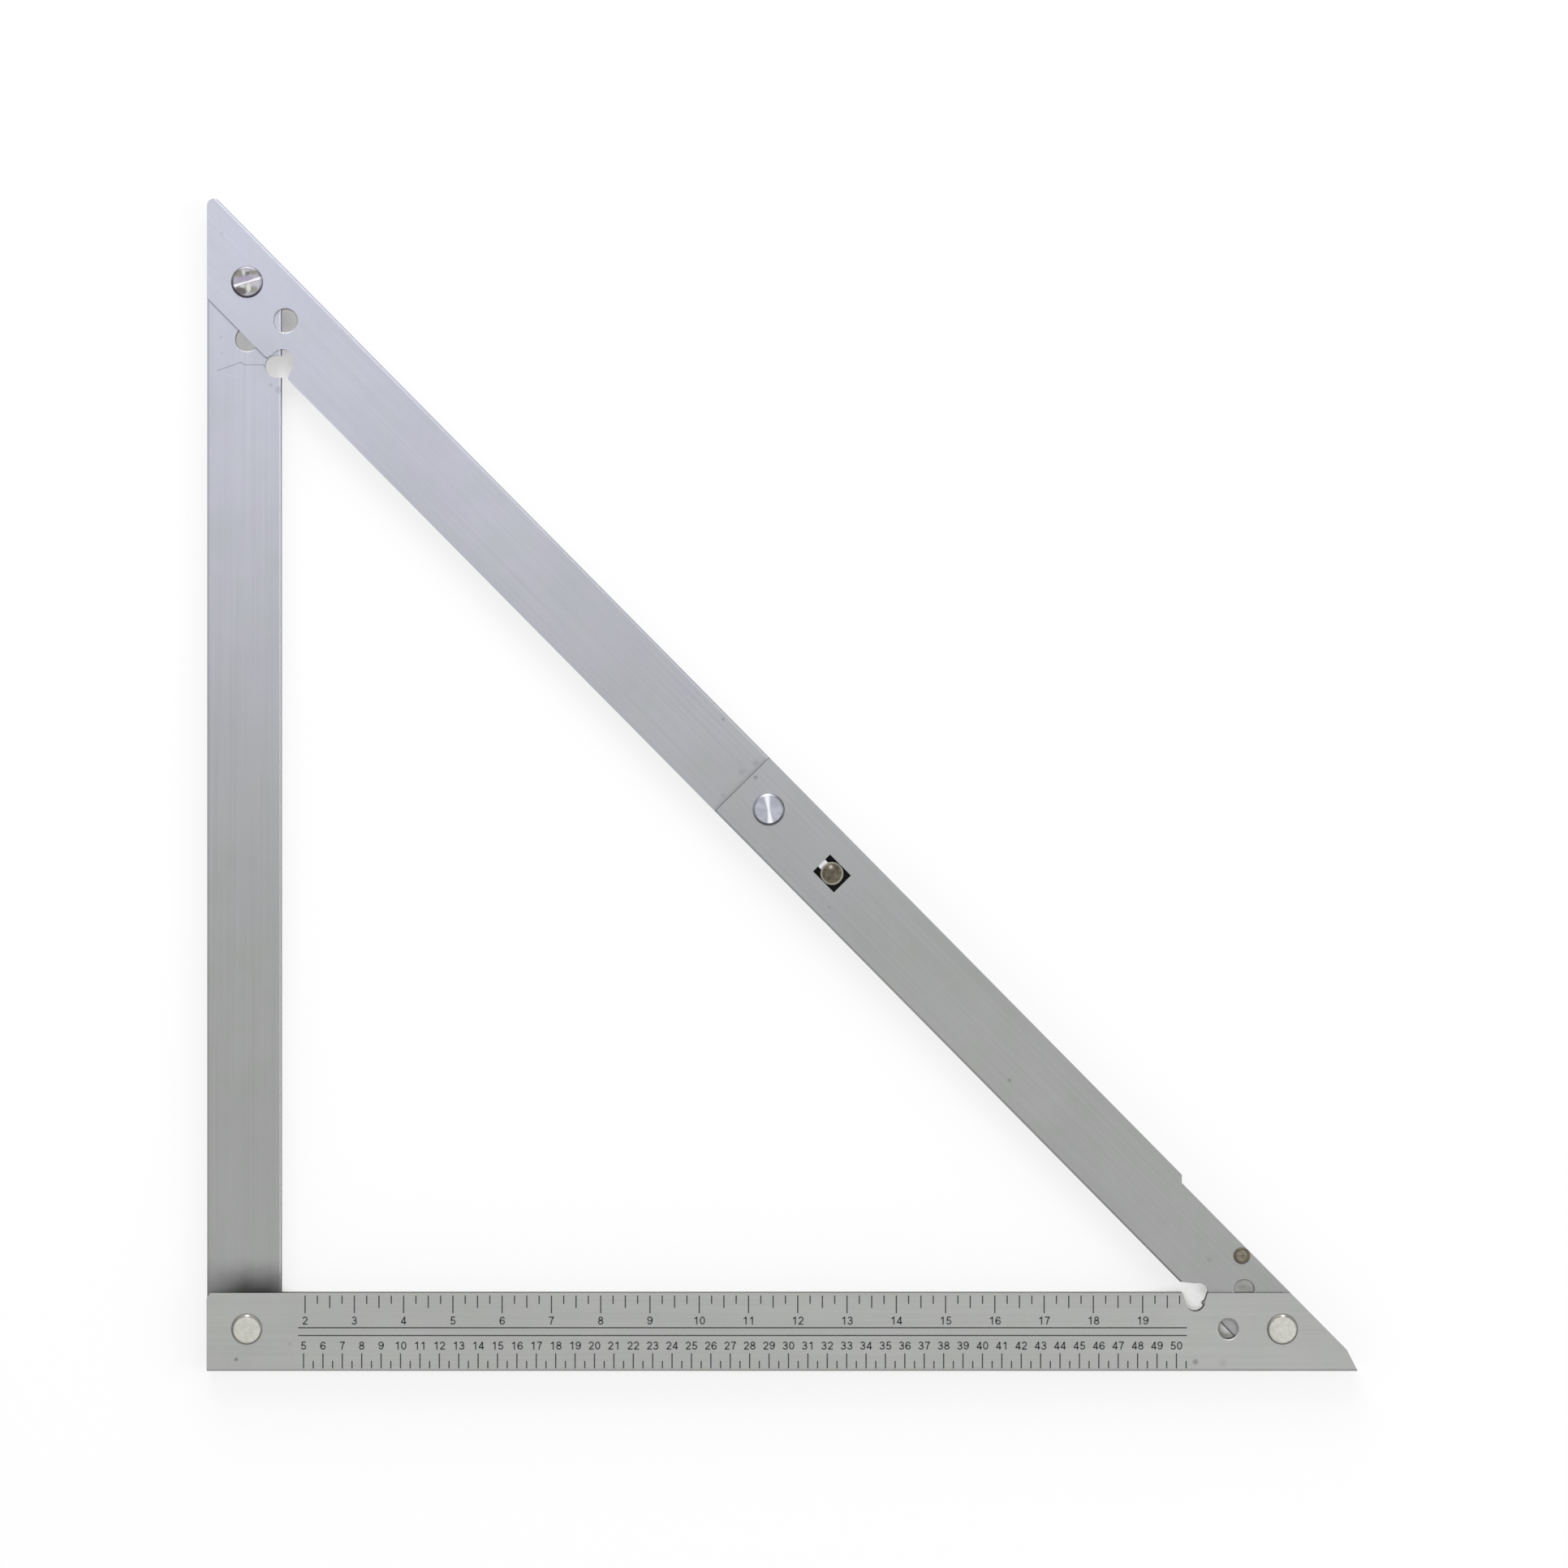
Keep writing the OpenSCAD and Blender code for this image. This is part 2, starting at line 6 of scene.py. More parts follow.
import bpy
import numpy as np
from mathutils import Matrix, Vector


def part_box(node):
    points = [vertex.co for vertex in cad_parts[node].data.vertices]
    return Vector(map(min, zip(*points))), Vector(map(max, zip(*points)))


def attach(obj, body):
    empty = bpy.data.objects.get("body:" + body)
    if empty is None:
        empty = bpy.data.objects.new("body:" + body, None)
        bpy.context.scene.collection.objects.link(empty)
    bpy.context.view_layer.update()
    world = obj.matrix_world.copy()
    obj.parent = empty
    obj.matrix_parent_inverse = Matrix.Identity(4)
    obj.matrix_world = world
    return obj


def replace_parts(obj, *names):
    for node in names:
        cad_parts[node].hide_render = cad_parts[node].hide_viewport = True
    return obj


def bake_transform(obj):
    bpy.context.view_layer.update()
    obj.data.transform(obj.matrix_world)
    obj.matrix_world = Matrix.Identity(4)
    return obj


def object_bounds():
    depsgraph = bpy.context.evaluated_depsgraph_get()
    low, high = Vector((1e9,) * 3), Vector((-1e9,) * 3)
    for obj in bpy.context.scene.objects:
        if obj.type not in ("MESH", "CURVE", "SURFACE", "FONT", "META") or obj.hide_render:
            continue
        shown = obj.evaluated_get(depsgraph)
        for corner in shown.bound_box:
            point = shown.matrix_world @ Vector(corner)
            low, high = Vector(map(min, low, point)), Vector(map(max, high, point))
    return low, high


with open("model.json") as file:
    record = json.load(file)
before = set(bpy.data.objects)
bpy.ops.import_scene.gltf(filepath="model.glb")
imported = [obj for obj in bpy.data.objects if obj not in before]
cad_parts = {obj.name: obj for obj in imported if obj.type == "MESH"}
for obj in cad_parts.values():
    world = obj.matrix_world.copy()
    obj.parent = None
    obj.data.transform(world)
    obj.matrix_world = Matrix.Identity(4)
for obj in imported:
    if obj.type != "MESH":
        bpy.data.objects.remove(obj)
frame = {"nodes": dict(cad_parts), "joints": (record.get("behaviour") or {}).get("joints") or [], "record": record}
cad_box = [list(corner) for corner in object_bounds()]
MM = 0.001


# The camera hangs straight above the square, far off behind a long lens, so that the bars show no sides.
# A point of the front is given by its pixel in the photograph, 1932 pixels wide.
PIXELS_PER_METRE = 2390
CORNER_PIXEL = (254.5, 1689.5)
PHOTO_WIDTH = 1932
CAMERA_HEIGHT = 7.0
SENSOR = 36.0
FARTHEST = 100.0


def pixel_place(column, row):
    """Place on the front of the square, in metres, that a pixel of the photograph shows."""
    return ((column - CORNER_PIXEL[0]) / PIXELS_PER_METRE, (CORNER_PIXEL[1] - row) / PIXELS_PER_METRE)


front_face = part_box("base_leg")[1].z
camera = bpy.data.objects.new("camera", bpy.data.cameras.new("camera"))
bpy.context.scene.collection.objects.link(camera)
camera.location = (*pixel_place(PHOTO_WIDTH / 2, PHOTO_WIDTH / 2), front_face + CAMERA_HEIGHT)
camera.data.sensor_width = SENSOR
camera.data.lens = SENSOR * CAMERA_HEIGHT / (PHOTO_WIDTH / PIXELS_PER_METRE)
camera.data.clip_end = FARTHEST
bpy.context.scene.camera = camera
bpy.context.scene.view_settings.view_transform = "Standard"


# Table and room: a white table, a soft lamp beyond the top of the square, a farther one to its right, and a pale room.
# The room is brighter towards the lamp, so edges that face the top of the square shine and the others darken. The
# table is seen in shadow through the narrow holes of the bars, where hardly any of the sky is open above it.
KEY_PLACE = (0.05, 2.1, 1.5)
KEY_SIZE = 1.9
KEY_POWER = 30.0
FILL_PLACE = (3.3, 0.1, 3.2)
FILL_SIZE = 2.1
FILL_POWER = 38.0
AIM = (0.2, 0.25, 0.0)
TABLE_HALF = 12.0
TABLE_GAP = 0.2 * MM
TABLE_WHITE = (0.9, 0.9, 0.9)
TABLE_GLOW = 0.78
TABLE_SHADE_CREAM = (0.9, 0.89, 0.8)
TABLE_SKY = (0.16, 0.3)
SKY_REACH = 25 * MM
SKY_SAMPLES = 6
ROOM_SPAN = (-0.7, 0.8)
ROOM_DARK = 0.45
ROOM_BRIGHT = 1.0
OVERHEAD_SPAN = (0.0, 0.75)
ROOM_ABOVE = 0.92
ROOM_FOR_TABLE = 0.75
RAYS = ("Camera", "Glossy", "Transmission")


class Wire:
    """One output of a shader node, with arithmetic on wires and plain numbers."""

    def __init__(self, nodes, socket):
        self.nodes = nodes
        self.socket = socket

    def math(self, operation, first, second=0.0):
        return self.nodes.node("ShaderNodeMath", {"operation": operation}, {0: first, 1: second})

    def __add__(self, other):
        return self.math("ADD", self, other)

    def __radd__(self, other):
        return self.math("ADD", other, self)

    def __sub__(self, other):
        return self.math("SUBTRACT", self, other)

    def __rsub__(self, other):
        return self.math("SUBTRACT", other, self)

    def __mul__(self, other):
        return self.math("MULTIPLY", self, other)

    def __rmul__(self, other):
        return self.math("MULTIPLY", other, self)

    def __truediv__(self, other):
        return self.math("DIVIDE", self, other)

    def __abs__(self):
        return self.math("ABSOLUTE", self)

    def least(self, other):
        return self.math("MINIMUM", self, other)

    def most(self, other):
        return self.math("MAXIMUM", self, other)


class Nodes:
    """Nodes of one tree, each added by what it works out."""

    def __init__(self, tree):
        self.tree = tree

    def feed(self, socket, value):
        """Links a wire to a socket, or writes a number, vector or colour on it."""
        if isinstance(value, Wire):
            self.tree.links.new(value.socket, socket)
        else:
            socket.default_value = (*value, 1) if socket.type == "RGBA" else value

    def node(self, kind, settings=(), inputs=(), output=0):
        """Adds a node: its settings first, then the values or wires of its sockets."""
        made = self.tree.nodes.new(kind)
        for name, value in dict(settings).items():
            setattr(made, name, value)
        for name, value in dict(inputs).items():
            self.feed(made.inputs[name], value)
        return Wire(self, made.outputs[output])

    def vector(self, operation, first, second=(0, 0, 0), output="Vector"):
        return self.node("ShaderNodeVectorMath", {"operation": operation}, {0: first, 1: second}, output)

    def length(self, vector):
        return self.vector("LENGTH", vector, output="Value")

    def dot(self, first, second):
        return self.vector("DOT_PRODUCT", first, second, "Value")

    def mix(self, low, high, share):
        """Colour that goes from low to high as share goes from 0 to 1."""
        return self.node("ShaderNodeMix", {"data_type": "RGBA"}, {0: share, 6: low, 7: high}, 2)

    def blend(self, low, high, share):
        """Shader that goes from low to high as share goes from 0 to 1."""
        return self.node("ShaderNodeMixShader", {}, {0: share, 1: low, 2: high})

    def ramp(self, value, low, high, first=0.0, last=1.0):
        """Smooth step from first, at low, to last, at high."""
        return self.node("ShaderNodeMapRange", {"interpolation_type": "SMOOTHSTEP"}, {
            "Value": value, "From Min": low, "From Max": high, "To Min": first, "To Max": last})

    def part(self, vector, axis):
        """One of the X, Y and Z of a vector."""
        return self.node("ShaderNodeSeparateXYZ", {}, {0: vector}, axis)

    def ray(self, kind):
        """1 for rays of that kind, and 0 for others."""
        return self.node("ShaderNodeLightPath", output=f"Is {kind} Ray")


def lamp(name, place, size, power):
    """Square soft lamp at place, turned towards the middle of the square."""
    made = bpy.data.objects.new(name, bpy.data.lights.new(name, "AREA"))
    bpy.context.scene.collection.objects.link(made)
    made.location = place
    made.rotation_euler = (Vector(AIM) - Vector(place)).to_track_quat("-Z", "Y").to_euler()
    made.data.size = size
    made.data.energy = power
    made.visible_camera = False


lamp("key_lamp", KEY_PLACE, KEY_SIZE, KEY_POWER)
lamp("fill_lamp", FILL_PLACE, FILL_SIZE, FILL_POWER)

world = bpy.data.worlds.new("room")
bpy.context.scene.world = world
world.use_nodes = True
room = Nodes(world.node_tree)
sight = room.node("ShaderNodeTexCoord", output="Generated")
horizon = room.ramp(room.part(sight, "Y"), *ROOM_SPAN, ROOM_DARK, ROOM_BRIGHT)
above = room.ramp(room.part(sight, "Z"), *OVERHEAD_SPAN)
reflected = horizon + above * (ROOM_ABOVE - horizon)
seen, glossy, through = map(room.ray, RAYS)
level = ROOM_FOR_TABLE + glossy * (reflected - ROOM_FOR_TABLE)
background = world.node_tree.nodes["Background"]
room.feed(background.inputs["Color"], (1, 1, 1))
room.feed(background.inputs["Strength"], level + seen.most(through) * (1 - level))

table_level = cad_box[0][2] - TABLE_GAP
table_mesh = bpy.data.meshes.new("table")
table_corners = [(-TABLE_HALF, -TABLE_HALF), (TABLE_HALF, -TABLE_HALF), (TABLE_HALF, TABLE_HALF),
                 (-TABLE_HALF, TABLE_HALF)]
table_mesh.from_pydata([(*corner, table_level) for corner in table_corners], [], [(0, 1, 2, 3)])
table = bpy.data.objects.new("table", table_mesh)
bpy.context.scene.collection.objects.link(table)
white = bpy.data.materials.new("white_table")
white.use_nodes = True
paint = Nodes(white.node_tree)
white.node_tree.nodes.remove(white.node_tree.nodes["Principled BSDF"])
sky = paint.node("ShaderNodeAmbientOcclusion", {"samples": SKY_SAMPLES}, {"Distance": SKY_REACH}, "AO")
open_sky = paint.ramp(sky, *TABLE_SKY)
# Where little sky is open, the table is painted cream as part of its shade.
matt = paint.node("ShaderNodeBsdfDiffuse", {}, {"Color": paint.mix(TABLE_SHADE_CREAM, TABLE_WHITE, open_sky)})
glow = paint.node("ShaderNodeEmission", {}, {"Color": (1, 1, 1), "Strength": 1.0})
clear = paint.node("ShaderNodeBsdfTransparent")
seen, glossy, through = map(paint.ray, RAYS)
lit = paint.blend(matt, glow, TABLE_GLOW * (open_sky * seen).most(glossy).most(through))
below = paint.node("ShaderNodeNewGeometry", output="Backfacing")
paint.feed(white.node_tree.nodes["Material Output"].inputs["Surface"], paint.blend(lit, clear, below))
table_mesh.materials.append(white)


# Base leg: a deep channel bent from satin anodised aluminium sheet, faintly streaked along its length.
# The edge of its hanging hole is turned over and polished, and it has small dark knocks near both ends.
# All four bars are painted brighter and bluer towards the top of the square, as light falling from above, down to a
# neutral grey at its foot.
hanging_hole = next(mount for mount in frame["record"]["mounts"] if mount["name"] == "hanging_hole")["pos_m"]
NARROW_HOLE = 5.25 * MM
STREAK_LENGTH = 120 * MM
STREAK_WIDTH = 0.9 * MM
CLOUD = 60 * MM
GRAIN = 0.5 * MM
GRAIN_DEPTH = 0.006 * MM
CLOUD_SHARE = 0.4
STREAK_SHARE = 0.35
GRAIN_SHARE = 0.25
SHADE_SPAN = (0.35, 0.65)
STREAK_SHADE = 0.92
RIM_WIDTH = 0.7 * MM
RIM_DEPTH = 1.1 * MM
RIM_SHINE = (0.8, 0.8, 0.78)
RIM_STRENGTH = 0.8
RIM_INSIDE = 2 * MM
DARK_LINE_WIDTH = 0.45 * MM
DARK_LINE_CORE = 0.2
TOP_LIGHT_TONE = (0.51, 0.515, 0.603)
GREY_TONE = (0.354, 0.357, 0.356)
BASE_TONE = (0.415, 0.42, 0.412)
TOP_LIGHT_HEIGHT = 600 * MM
GREY_HEIGHT = 165 * MM
TINT = (0.98, 1.0, 0.965)
TINT_CLOUD = 20 * MM
TINT_SPAN = (0.35, 0.75)
TINT_OFFSET = (3, 5, 0)
SATIN_ROUGHNESS = 0.36
STREAK_ROUGHNESS = 0.12
CLOUD_ROUGHNESS = 0.06
FRONT_START = 1 * MM
KNOCK_CORE = 0.3
BASE_KNOCKS = ((291, 1675, 1.5 * MM, 0.42), (1473, 1678, 2.1 * MM, 0.35), (357, 1656, 1.3 * MM, 0.14),
               (1507, 1679, 3 * MM, 0.084))


class Finish(Nodes):
    """A material: one Principled shader and the nodes that feed it. place is the point of the piece, in metres."""

    def __init__(self, name, metallic=1.0):
        self.material = bpy.data.materials.new(name)
        self.material.use_nodes = True
        super().__init__(self.material.node_tree)
        self.shader = self.tree.nodes["Principled BSDF"]
        self.shader.inputs["Metallic"].default_value = metallic
        self.place = self.node("ShaderNodeTexCoord", output="Object")

    def noise(self, vector, size, detail=2.0, roughness=0.5):
        """Cloudy noise from 0 to 1, whose clouds are about size wide."""
        return self.node("ShaderNodeTexNoise", {}, {
            "Vector": vector, "Scale": 1 / size, "Detail": detail, "Roughness": roughness})

    def offset(self, centre):
        """Place seen from the upright line through centre."""
        return self.vector("MULTIPLY", self.vector("SUBTRACT", self.place, (*centre[:2], 0)), (1, 1, 0))

    def away(self, centre):
        """Distance from the upright line through centre."""
        return self.length(self.offset(centre))

    def rings(self, away, pitch):
        """Sine from -1 to 1 of a distance, which starts again at every pitch."""
        return self.node("ShaderNodeMath", {"operation": "SINE"}, {0: away * (2 * math.pi / pitch)})

    def ready(self, colour, roughness, relief=None):
        """Feeds the shader, and tilts the surface as a relief of that height, in metres, would."""
        self.feed(self.shader.inputs["Base Color"], colour)
        self.feed(self.shader.inputs["Roughness"], roughness)
        if relief:
            tilt = self.node("ShaderNodeBump", {}, {"Distance": 1.0, "Height": relief})
            self.feed(self.shader.inputs["Normal"], tilt)
        return self.material


def on_line(finish, start, end, width):
    """1 on the line from start to end and 0 past width from it: the distance from the nearest point of the line."""
    run = (end[0] - start[0], end[1] - start[1], 0)
    offset = finish.offset(start)
    share = (finish.dot(offset, run) / (run[0] ** 2 + run[1] ** 2)).least(1.0).most(0.0)
    nearest = finish.node("ShaderNodeVectorMath", {"operation": "SCALE"}, {0: run, "Scale": share})
    away = finish.vector("DISTANCE", offset, nearest, "Value")
    return finish.ramp(away, DARK_LINE_CORE * width, width, 1.0, 0.0)


def satin(name, turn, foot_tone, holes, knocks, scratches_and_shadows=(), shade=None):
    """Satin aluminium: faint streaks along the bar, which lies at the angle turn, and a greenish tint in soft clouds,
    over a tone that goes from foot_tone to a brighter, bluer silver with the height, as painted light from above.
    holes are (centre, radius) of polished rims, knocks are (column, row, radius, depth) of dark spots, the dark lines
    on the front, each (start, end, depth), are scratches and painted shadows along the edges of bars that lie over it,
    and shade is a function from the finish to a factor of its colour, for painted shade."""
    finish = Finish(name)
    along = finish.node("ShaderNodeVectorRotate", {"rotation_type": "Z_AXIS"}, {
        "Vector": finish.place, "Angle": -turn})
    drawn_out = finish.vector("MULTIPLY", along, (STREAK_WIDTH / STREAK_LENGTH, 1, 1))
    streaks = finish.noise(drawn_out, STREAK_WIDTH, detail=3.0)
    clouds = finish.noise(finish.place, CLOUD, detail=5.0, roughness=0.65)
    grain = finish.noise(finish.place, GRAIN)
    height = finish.part(finish.place, "Y")
    # Painted light: brighter and bluer with the height, as light falling from above.
    colour = finish.mix(foot_tone, TOP_LIGHT_TONE, finish.ramp(height, GREY_HEIGHT, TOP_LIGHT_HEIGHT))
    hue = finish.noise(finish.vector("ADD", finish.place, TINT_OFFSET), TINT_CLOUD, detail=3.0)
    colour = finish.vector("MULTIPLY", colour, finish.mix((1, 1, 1), TINT, finish.ramp(hue, *TINT_SPAN)))
    uneven = CLOUD_SHARE * clouds + STREAK_SHARE * streaks + GRAIN_SHARE * grain
    fade = finish.ramp(uneven, *SHADE_SPAN, STREAK_SHADE, 1.0)
    if shade:
        fade = fade * shade(finish)
    front = finish.ramp(finish.part(finish.place, "Z"), 0.0, FRONT_START)
    for column, row, radius, depth in knocks:
        spot = finish.ramp(finish.away(pixel_place(column, row)), KNOCK_CORE * radius, radius, depth, 0.0)
        fade = fade * (1 - spot * front)
    for start, end, depth in scratches_and_shadows:
        fade = fade * (1 - depth * front * on_line(finish, start, end, DARK_LINE_WIDTH))
    colour = finish.mix((0, 0, 0), colour, fade)
    relief = GRAIN_DEPTH * (grain + streaks)
    roughness = SATIN_ROUGHNESS + STREAK_ROUGHNESS * streaks + CLOUD_ROUGHNESS * clouds
    for centre, radius in holes:
        away = finish.away(centre)
        relief = relief + finish.ramp(away, radius - RIM_WIDTH, radius + RIM_WIDTH, 0.0, RIM_DEPTH)
        rim = finish.ramp(away, radius, radius + RIM_WIDTH, RIM_STRENGTH, 0.0)
        colour = finish.mix(colour, RIM_SHINE, rim * finish.ramp(away, radius - RIM_INSIDE, radius))
    return finish.ready(colour, roughness, relief)


def dress(node_name, material):
    """Gives a node of the model its material."""
    materials = frame["nodes"][node_name].data.materials
    materials.clear()
    materials.append(material)


dress("base_leg", satin("base_aluminium", 0.0, BASE_TONE, [(hanging_hole, NARROW_HOLE)], BASE_KNOCKS))


# Printed scales: black ink on the front of the base leg, inches above and centimetres below two long lines.
# Both scales start at the outer corner, and every number stands over or under the middle of its tick.
INK = ((0.02, 0.022, 0.025), (0.075, 0.08, 0.085))
INK_THICKNESS = 0.03 * MM
INK_WEAR = 0.6 * MM
INK_WEAR_SPAN = (0.45, 0.75)
INK_ROUGHNESS = 0.4
INCH = 25.4 * MM
CENTIMETRE = 10 * MM
INCHES = range(2, 20)
CENTIMETRES = range(5, 51)
TICK_WIDTH = 0.65 * MM
INCH_TICK_TOP = 39.0 * MM
INCH_TICK_FEET = (29.9 * MM, 34.7 * MM, 32.6 * MM, 34.7 * MM)
CENTIMETRE_TICK_FOOT = 1.45 * MM
CENTIMETRE_TICK_TOPS = (9.2 * MM, 5.3 * MM)
LINE_HEIGHTS = (18.4 * MM, 22.4 * MM)
LINE_WIDTH = 0.65 * MM
LINE_ENDS = (47.2 * MM, 505.4 * MM)
DIGIT_HEIGHT = 4.2 * MM
DIGIT_WIDTH = 0.68
DIGIT_PITCH = 0.78
DIGIT_STROKE = 0.16
ARC_STEP = 20
ARC_LEAST = 6
INCH_DIGIT_FOOT = 24.0 * MM
CENTIMETRE_DIGIT_FOOT = 11.1 * MM


def strip(path, half_width, foot, thickness):
    """Closed strip along a flat path. At each point of the path, whose unit tangent is t and whose left is n, the four
    corners lie at the point plus and minus half_width n, at the heights foot and foot + thickness."""
    path = np.asarray(path, float)
    ring_shaped = len(path) > 3 and np.allclose(path[0], path[-1])
    if ring_shaped:
        path = path[:-1]
        tangent = np.roll(path, -1, 0) - np.roll(path, 1, 0)
    else:
        tangent = np.gradient(path, axis=0)
    tangent /= np.linalg.norm(tangent, axis=1)[:, None]
    reach = np.broadcast_to(half_width, len(path))[:, None] * np.stack([-tangent[:, 1], tangent[:, 0]], 1)
    rings = np.empty((len(path), 4, 3))
    rings[:, (0, 3), :2] = (path + reach)[:, None]
    rings[:, (1, 2), :2] = (path - reach)[:, None]
    rings[:, :2, 2] = np.broadcast_to(foot, len(path))[:, None]
    rings[:, 2:, 2] = rings[:, :2, 2] + thickness
    count = len(path)
    here = np.arange(count if ring_shaped else count - 1)[:, None] * 4
    there = (here + 4) % (4 * count)
    corner = np.arange(4)
    following = (corner + 1) % 4
    faces = np.stack([here + corner, there + corner, there + following, here + following], -1).reshape(-1, 4)
    if not ring_shaped:
        faces = np.vstack([faces, [corner], [corner[::-1] + 4 * (count - 1)]])
    return rings.reshape(-1, 3), [faces]


def joined(shapes):
    """One shape from many. A shape is its points and its blocks of faces, whose numbers are moved on by the points of
    the shapes before it."""
    points = [shape_points for shape_points, _ in shapes]
    starts = np.cumsum([0, *map(len, points)])
    return np.concatenate(points), [block + start for (_, blocks), start in zip(shapes, starts) for block in blocks]


def new_piece(name, shape, material, body=None):
    """Makes a mesh piece with the given material, which rides on a body if one is given."""
    points, blocks = shape
    mesh = bpy.data.meshes.new(name)
    mesh.from_pydata(points.tolist(), [], [face for block in blocks for face in block.tolist()])
    mesh.materials.append(material)
    piece = bpy.data.objects.new(name, mesh)
    bpy.context.scene.collection.objects.link(piece)
    if body:
        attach(piece, body)
    return piece


def arc(centre, radii, start, end):
    """Points centre + (rx cos a, ry sin a) of an ellipse, for a from start to end in degrees."""
    angles = np.radians(np.linspace(start, end, max(ARC_LEAST, round(abs(end - start) / ARC_STEP))))
    return np.stack([centre[0] + radii[0] * np.cos(angles), centre[1] + radii[1] * np.sin(angles)], 1)


six = [arc((0.35, 0.31), (0.26, 0.235), 0, 360), arc((0.365, 0.47), (0.285, 0.455), 32, 205)]
DIGITS = {
    "0": [arc((0.34, 0.5), (0.255, 0.425), 0, 360)],
    "1": [[(0.43, 0), (0.43, 0.985)], [(0.43, 0.93), (0.3, 0.8), (0.14, 0.73)]],
    "2": [np.vstack([arc((0.33, 0.68), (0.25, 0.245), 172, -30), [(0.34, 0.35), (0.12, 0.12)]]),
          [(0.04, 0.07), (0.64, 0.07)]],
    "3": [arc((0.32, 0.725), (0.225, 0.2), 165, -85), arc((0.325, 0.295), (0.265, 0.225), 88, -165),
          [(0.24, 0.522), (0.36, 0.522)]],
    "4": [[(0.48, 0), (0.48, 0.98)], [(0.02, 0.25), (0.67, 0.25)], [(0.47, 0.93), (0.07, 0.27)]],
    "5": [[(0.17, 0.925), (0.61, 0.925)], [(0.2, 0.95), (0.13, 0.47)], arc((0.33, 0.32), (0.265, 0.25), 145, -162)],
    "6": six,
    "7": [[(0.04, 0.925), (0.64, 0.925)], [(0.6, 0.93), (0.45, 0.68), (0.33, 0.36), (0.27, 0)]],
    "8": [arc((0.34, 0.73), (0.215, 0.195), 0, 360), arc((0.34, 0.29), (0.265, 0.22), 0, 360)],
    "9": [np.subtract((0.68, 1.0), path) for path in six],
}


def number(value, middle, foot):
    """Strips of a number's digits, side by side about its middle: each point of a digit's strokes is scaled by the
    digits' height."""
    text = str(value)
    left = middle - (DIGIT_PITCH * (len(text) - 1) + DIGIT_WIDTH) * DIGIT_HEIGHT / 2
    for place, digit in enumerate(text):
        start = (left + place * DIGIT_PITCH * DIGIT_HEIGHT, foot)
        for path in DIGITS[digit]:
            yield strip(np.asarray(path) * DIGIT_HEIGHT + start, DIGIT_STROKE * DIGIT_HEIGHT / 2, front_face,
                        INK_THICKNESS)


def upright_strip(column, low, high, width):
    return strip([(column, low), (column, high)], width / 2, front_face, INK_THICKNESS)


ink = Finish("black_ink", metallic=0.0)
worn = ink.noise(ink.place, INK_WEAR, detail=3.0)
black_ink = ink.ready(ink.mix(*INK, ink.ramp(worn, *INK_WEAR_SPAN)), INK_ROUGHNESS + 0.3 * worn)
inch_ticks = [upright_strip(quarter * INCH / 4, INCH_TICK_FEET[quarter % 4], INCH_TICK_TOP, TICK_WIDTH)
              for quarter in range(4 * INCHES[0], 4 * INCHES[-1] + 4)]
centimetre_ticks = [upright_strip(half * CENTIMETRE / 2, CENTIMETRE_TICK_FOOT, CENTIMETRE_TICK_TOPS[half % 2],
                                  TICK_WIDTH) for half in range(2 * CENTIMETRES[0], 2 * CENTIMETRES[-1] + 2)]
long_lines = [strip([(end, height) for end in LINE_ENDS], LINE_WIDTH / 2, front_face, INK_THICKNESS)
              for height in LINE_HEIGHTS]
inch_numbers = [stroke for inch in INCHES for stroke in number(inch, inch * INCH, INCH_DIGIT_FOOT)]
centimetre_numbers = [stroke for centimetre in CENTIMETRES
                      for stroke in number(centimetre, centimetre * CENTIMETRE, CENTIMETRE_DIGIT_FOOT)]
for name, shapes in (("scale_lines", inch_ticks + centimetre_ticks + long_lines), ("inch_numbers", inch_numbers),
                     ("centimetre_numbers", centimetre_numbers)):
    new_piece(name, joined(shapes), black_ink, "base")


# Upright leg: a thin rectangular tube of the same metal, painted bluer and brighter towards its top as light from
# above.
# It has a band of painted shade where it turns inside the base leg, and a painted shadow line along the upper brace's
# edge, and is knocked and scratched below its hanging hole.
WIDE_HOLE = 6 * MM
UPRIGHT_HANG_REACH = 29.5 * MM
BAND_TOP = 18 * MM
BAND_FOOT = 3 * MM
BAND_MIDDLE = 25 * MM
BAND_SIDES = (4 * MM, 24 * MM)
BAND_DEPTHS = (0.82, 0.4)
BAND_CLOUD = 9 * MM
BAND_RAGGED = 4 * MM
UPRIGHT_KNOCKS = ((343, 480, 2.6 * MM, 0.175), (333, 474, 1.6 * MM, 0.14), (273, 435, 1 * MM, 0.14),
                  (272, 415, 1 * MM, 0.14))
SCRATCH = ((268, 456), (296, 446), (301, 449), (324, 449), (327, 453))
SCRATCH_DEPTH = 0.3
PALE_SCRATCH = ((277, 460), (285, 463), (296, 464))
PALE_SCRATCH_DEPTH = -0.2
BRACE_EDGE = 20.4 * MM
BRACE_SHADOW_SPAN = (-15 * MM, 45 * MM)
BRACE_SHADOW_DEPTH = 0.55
joints = {joint["name"]: joint for joint in frame["joints"]}
tip_pivot = joints["tip_pivot"]["pos_m"]
top_pivot = joints["top_pivot"]["pos_m"]
brace_angle = math.atan2(tip_pivot[1] - top_pivot[1], tip_pivot[0] - top_pivot[0])
base_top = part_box("base_leg")[1].y
along_brace = np.array([math.cos(brace_angle), math.sin(brace_angle)])
across_brace = np.array([-along_brace[1], along_brace[0]])


def polyline(pixels, depth):
    """Scores from each pixel of the photograph to the next."""
    places = [pixel_place(*pixel) for pixel in pixels]
    return [(start, end, depth) for start, end in zip(places, places[1:])]


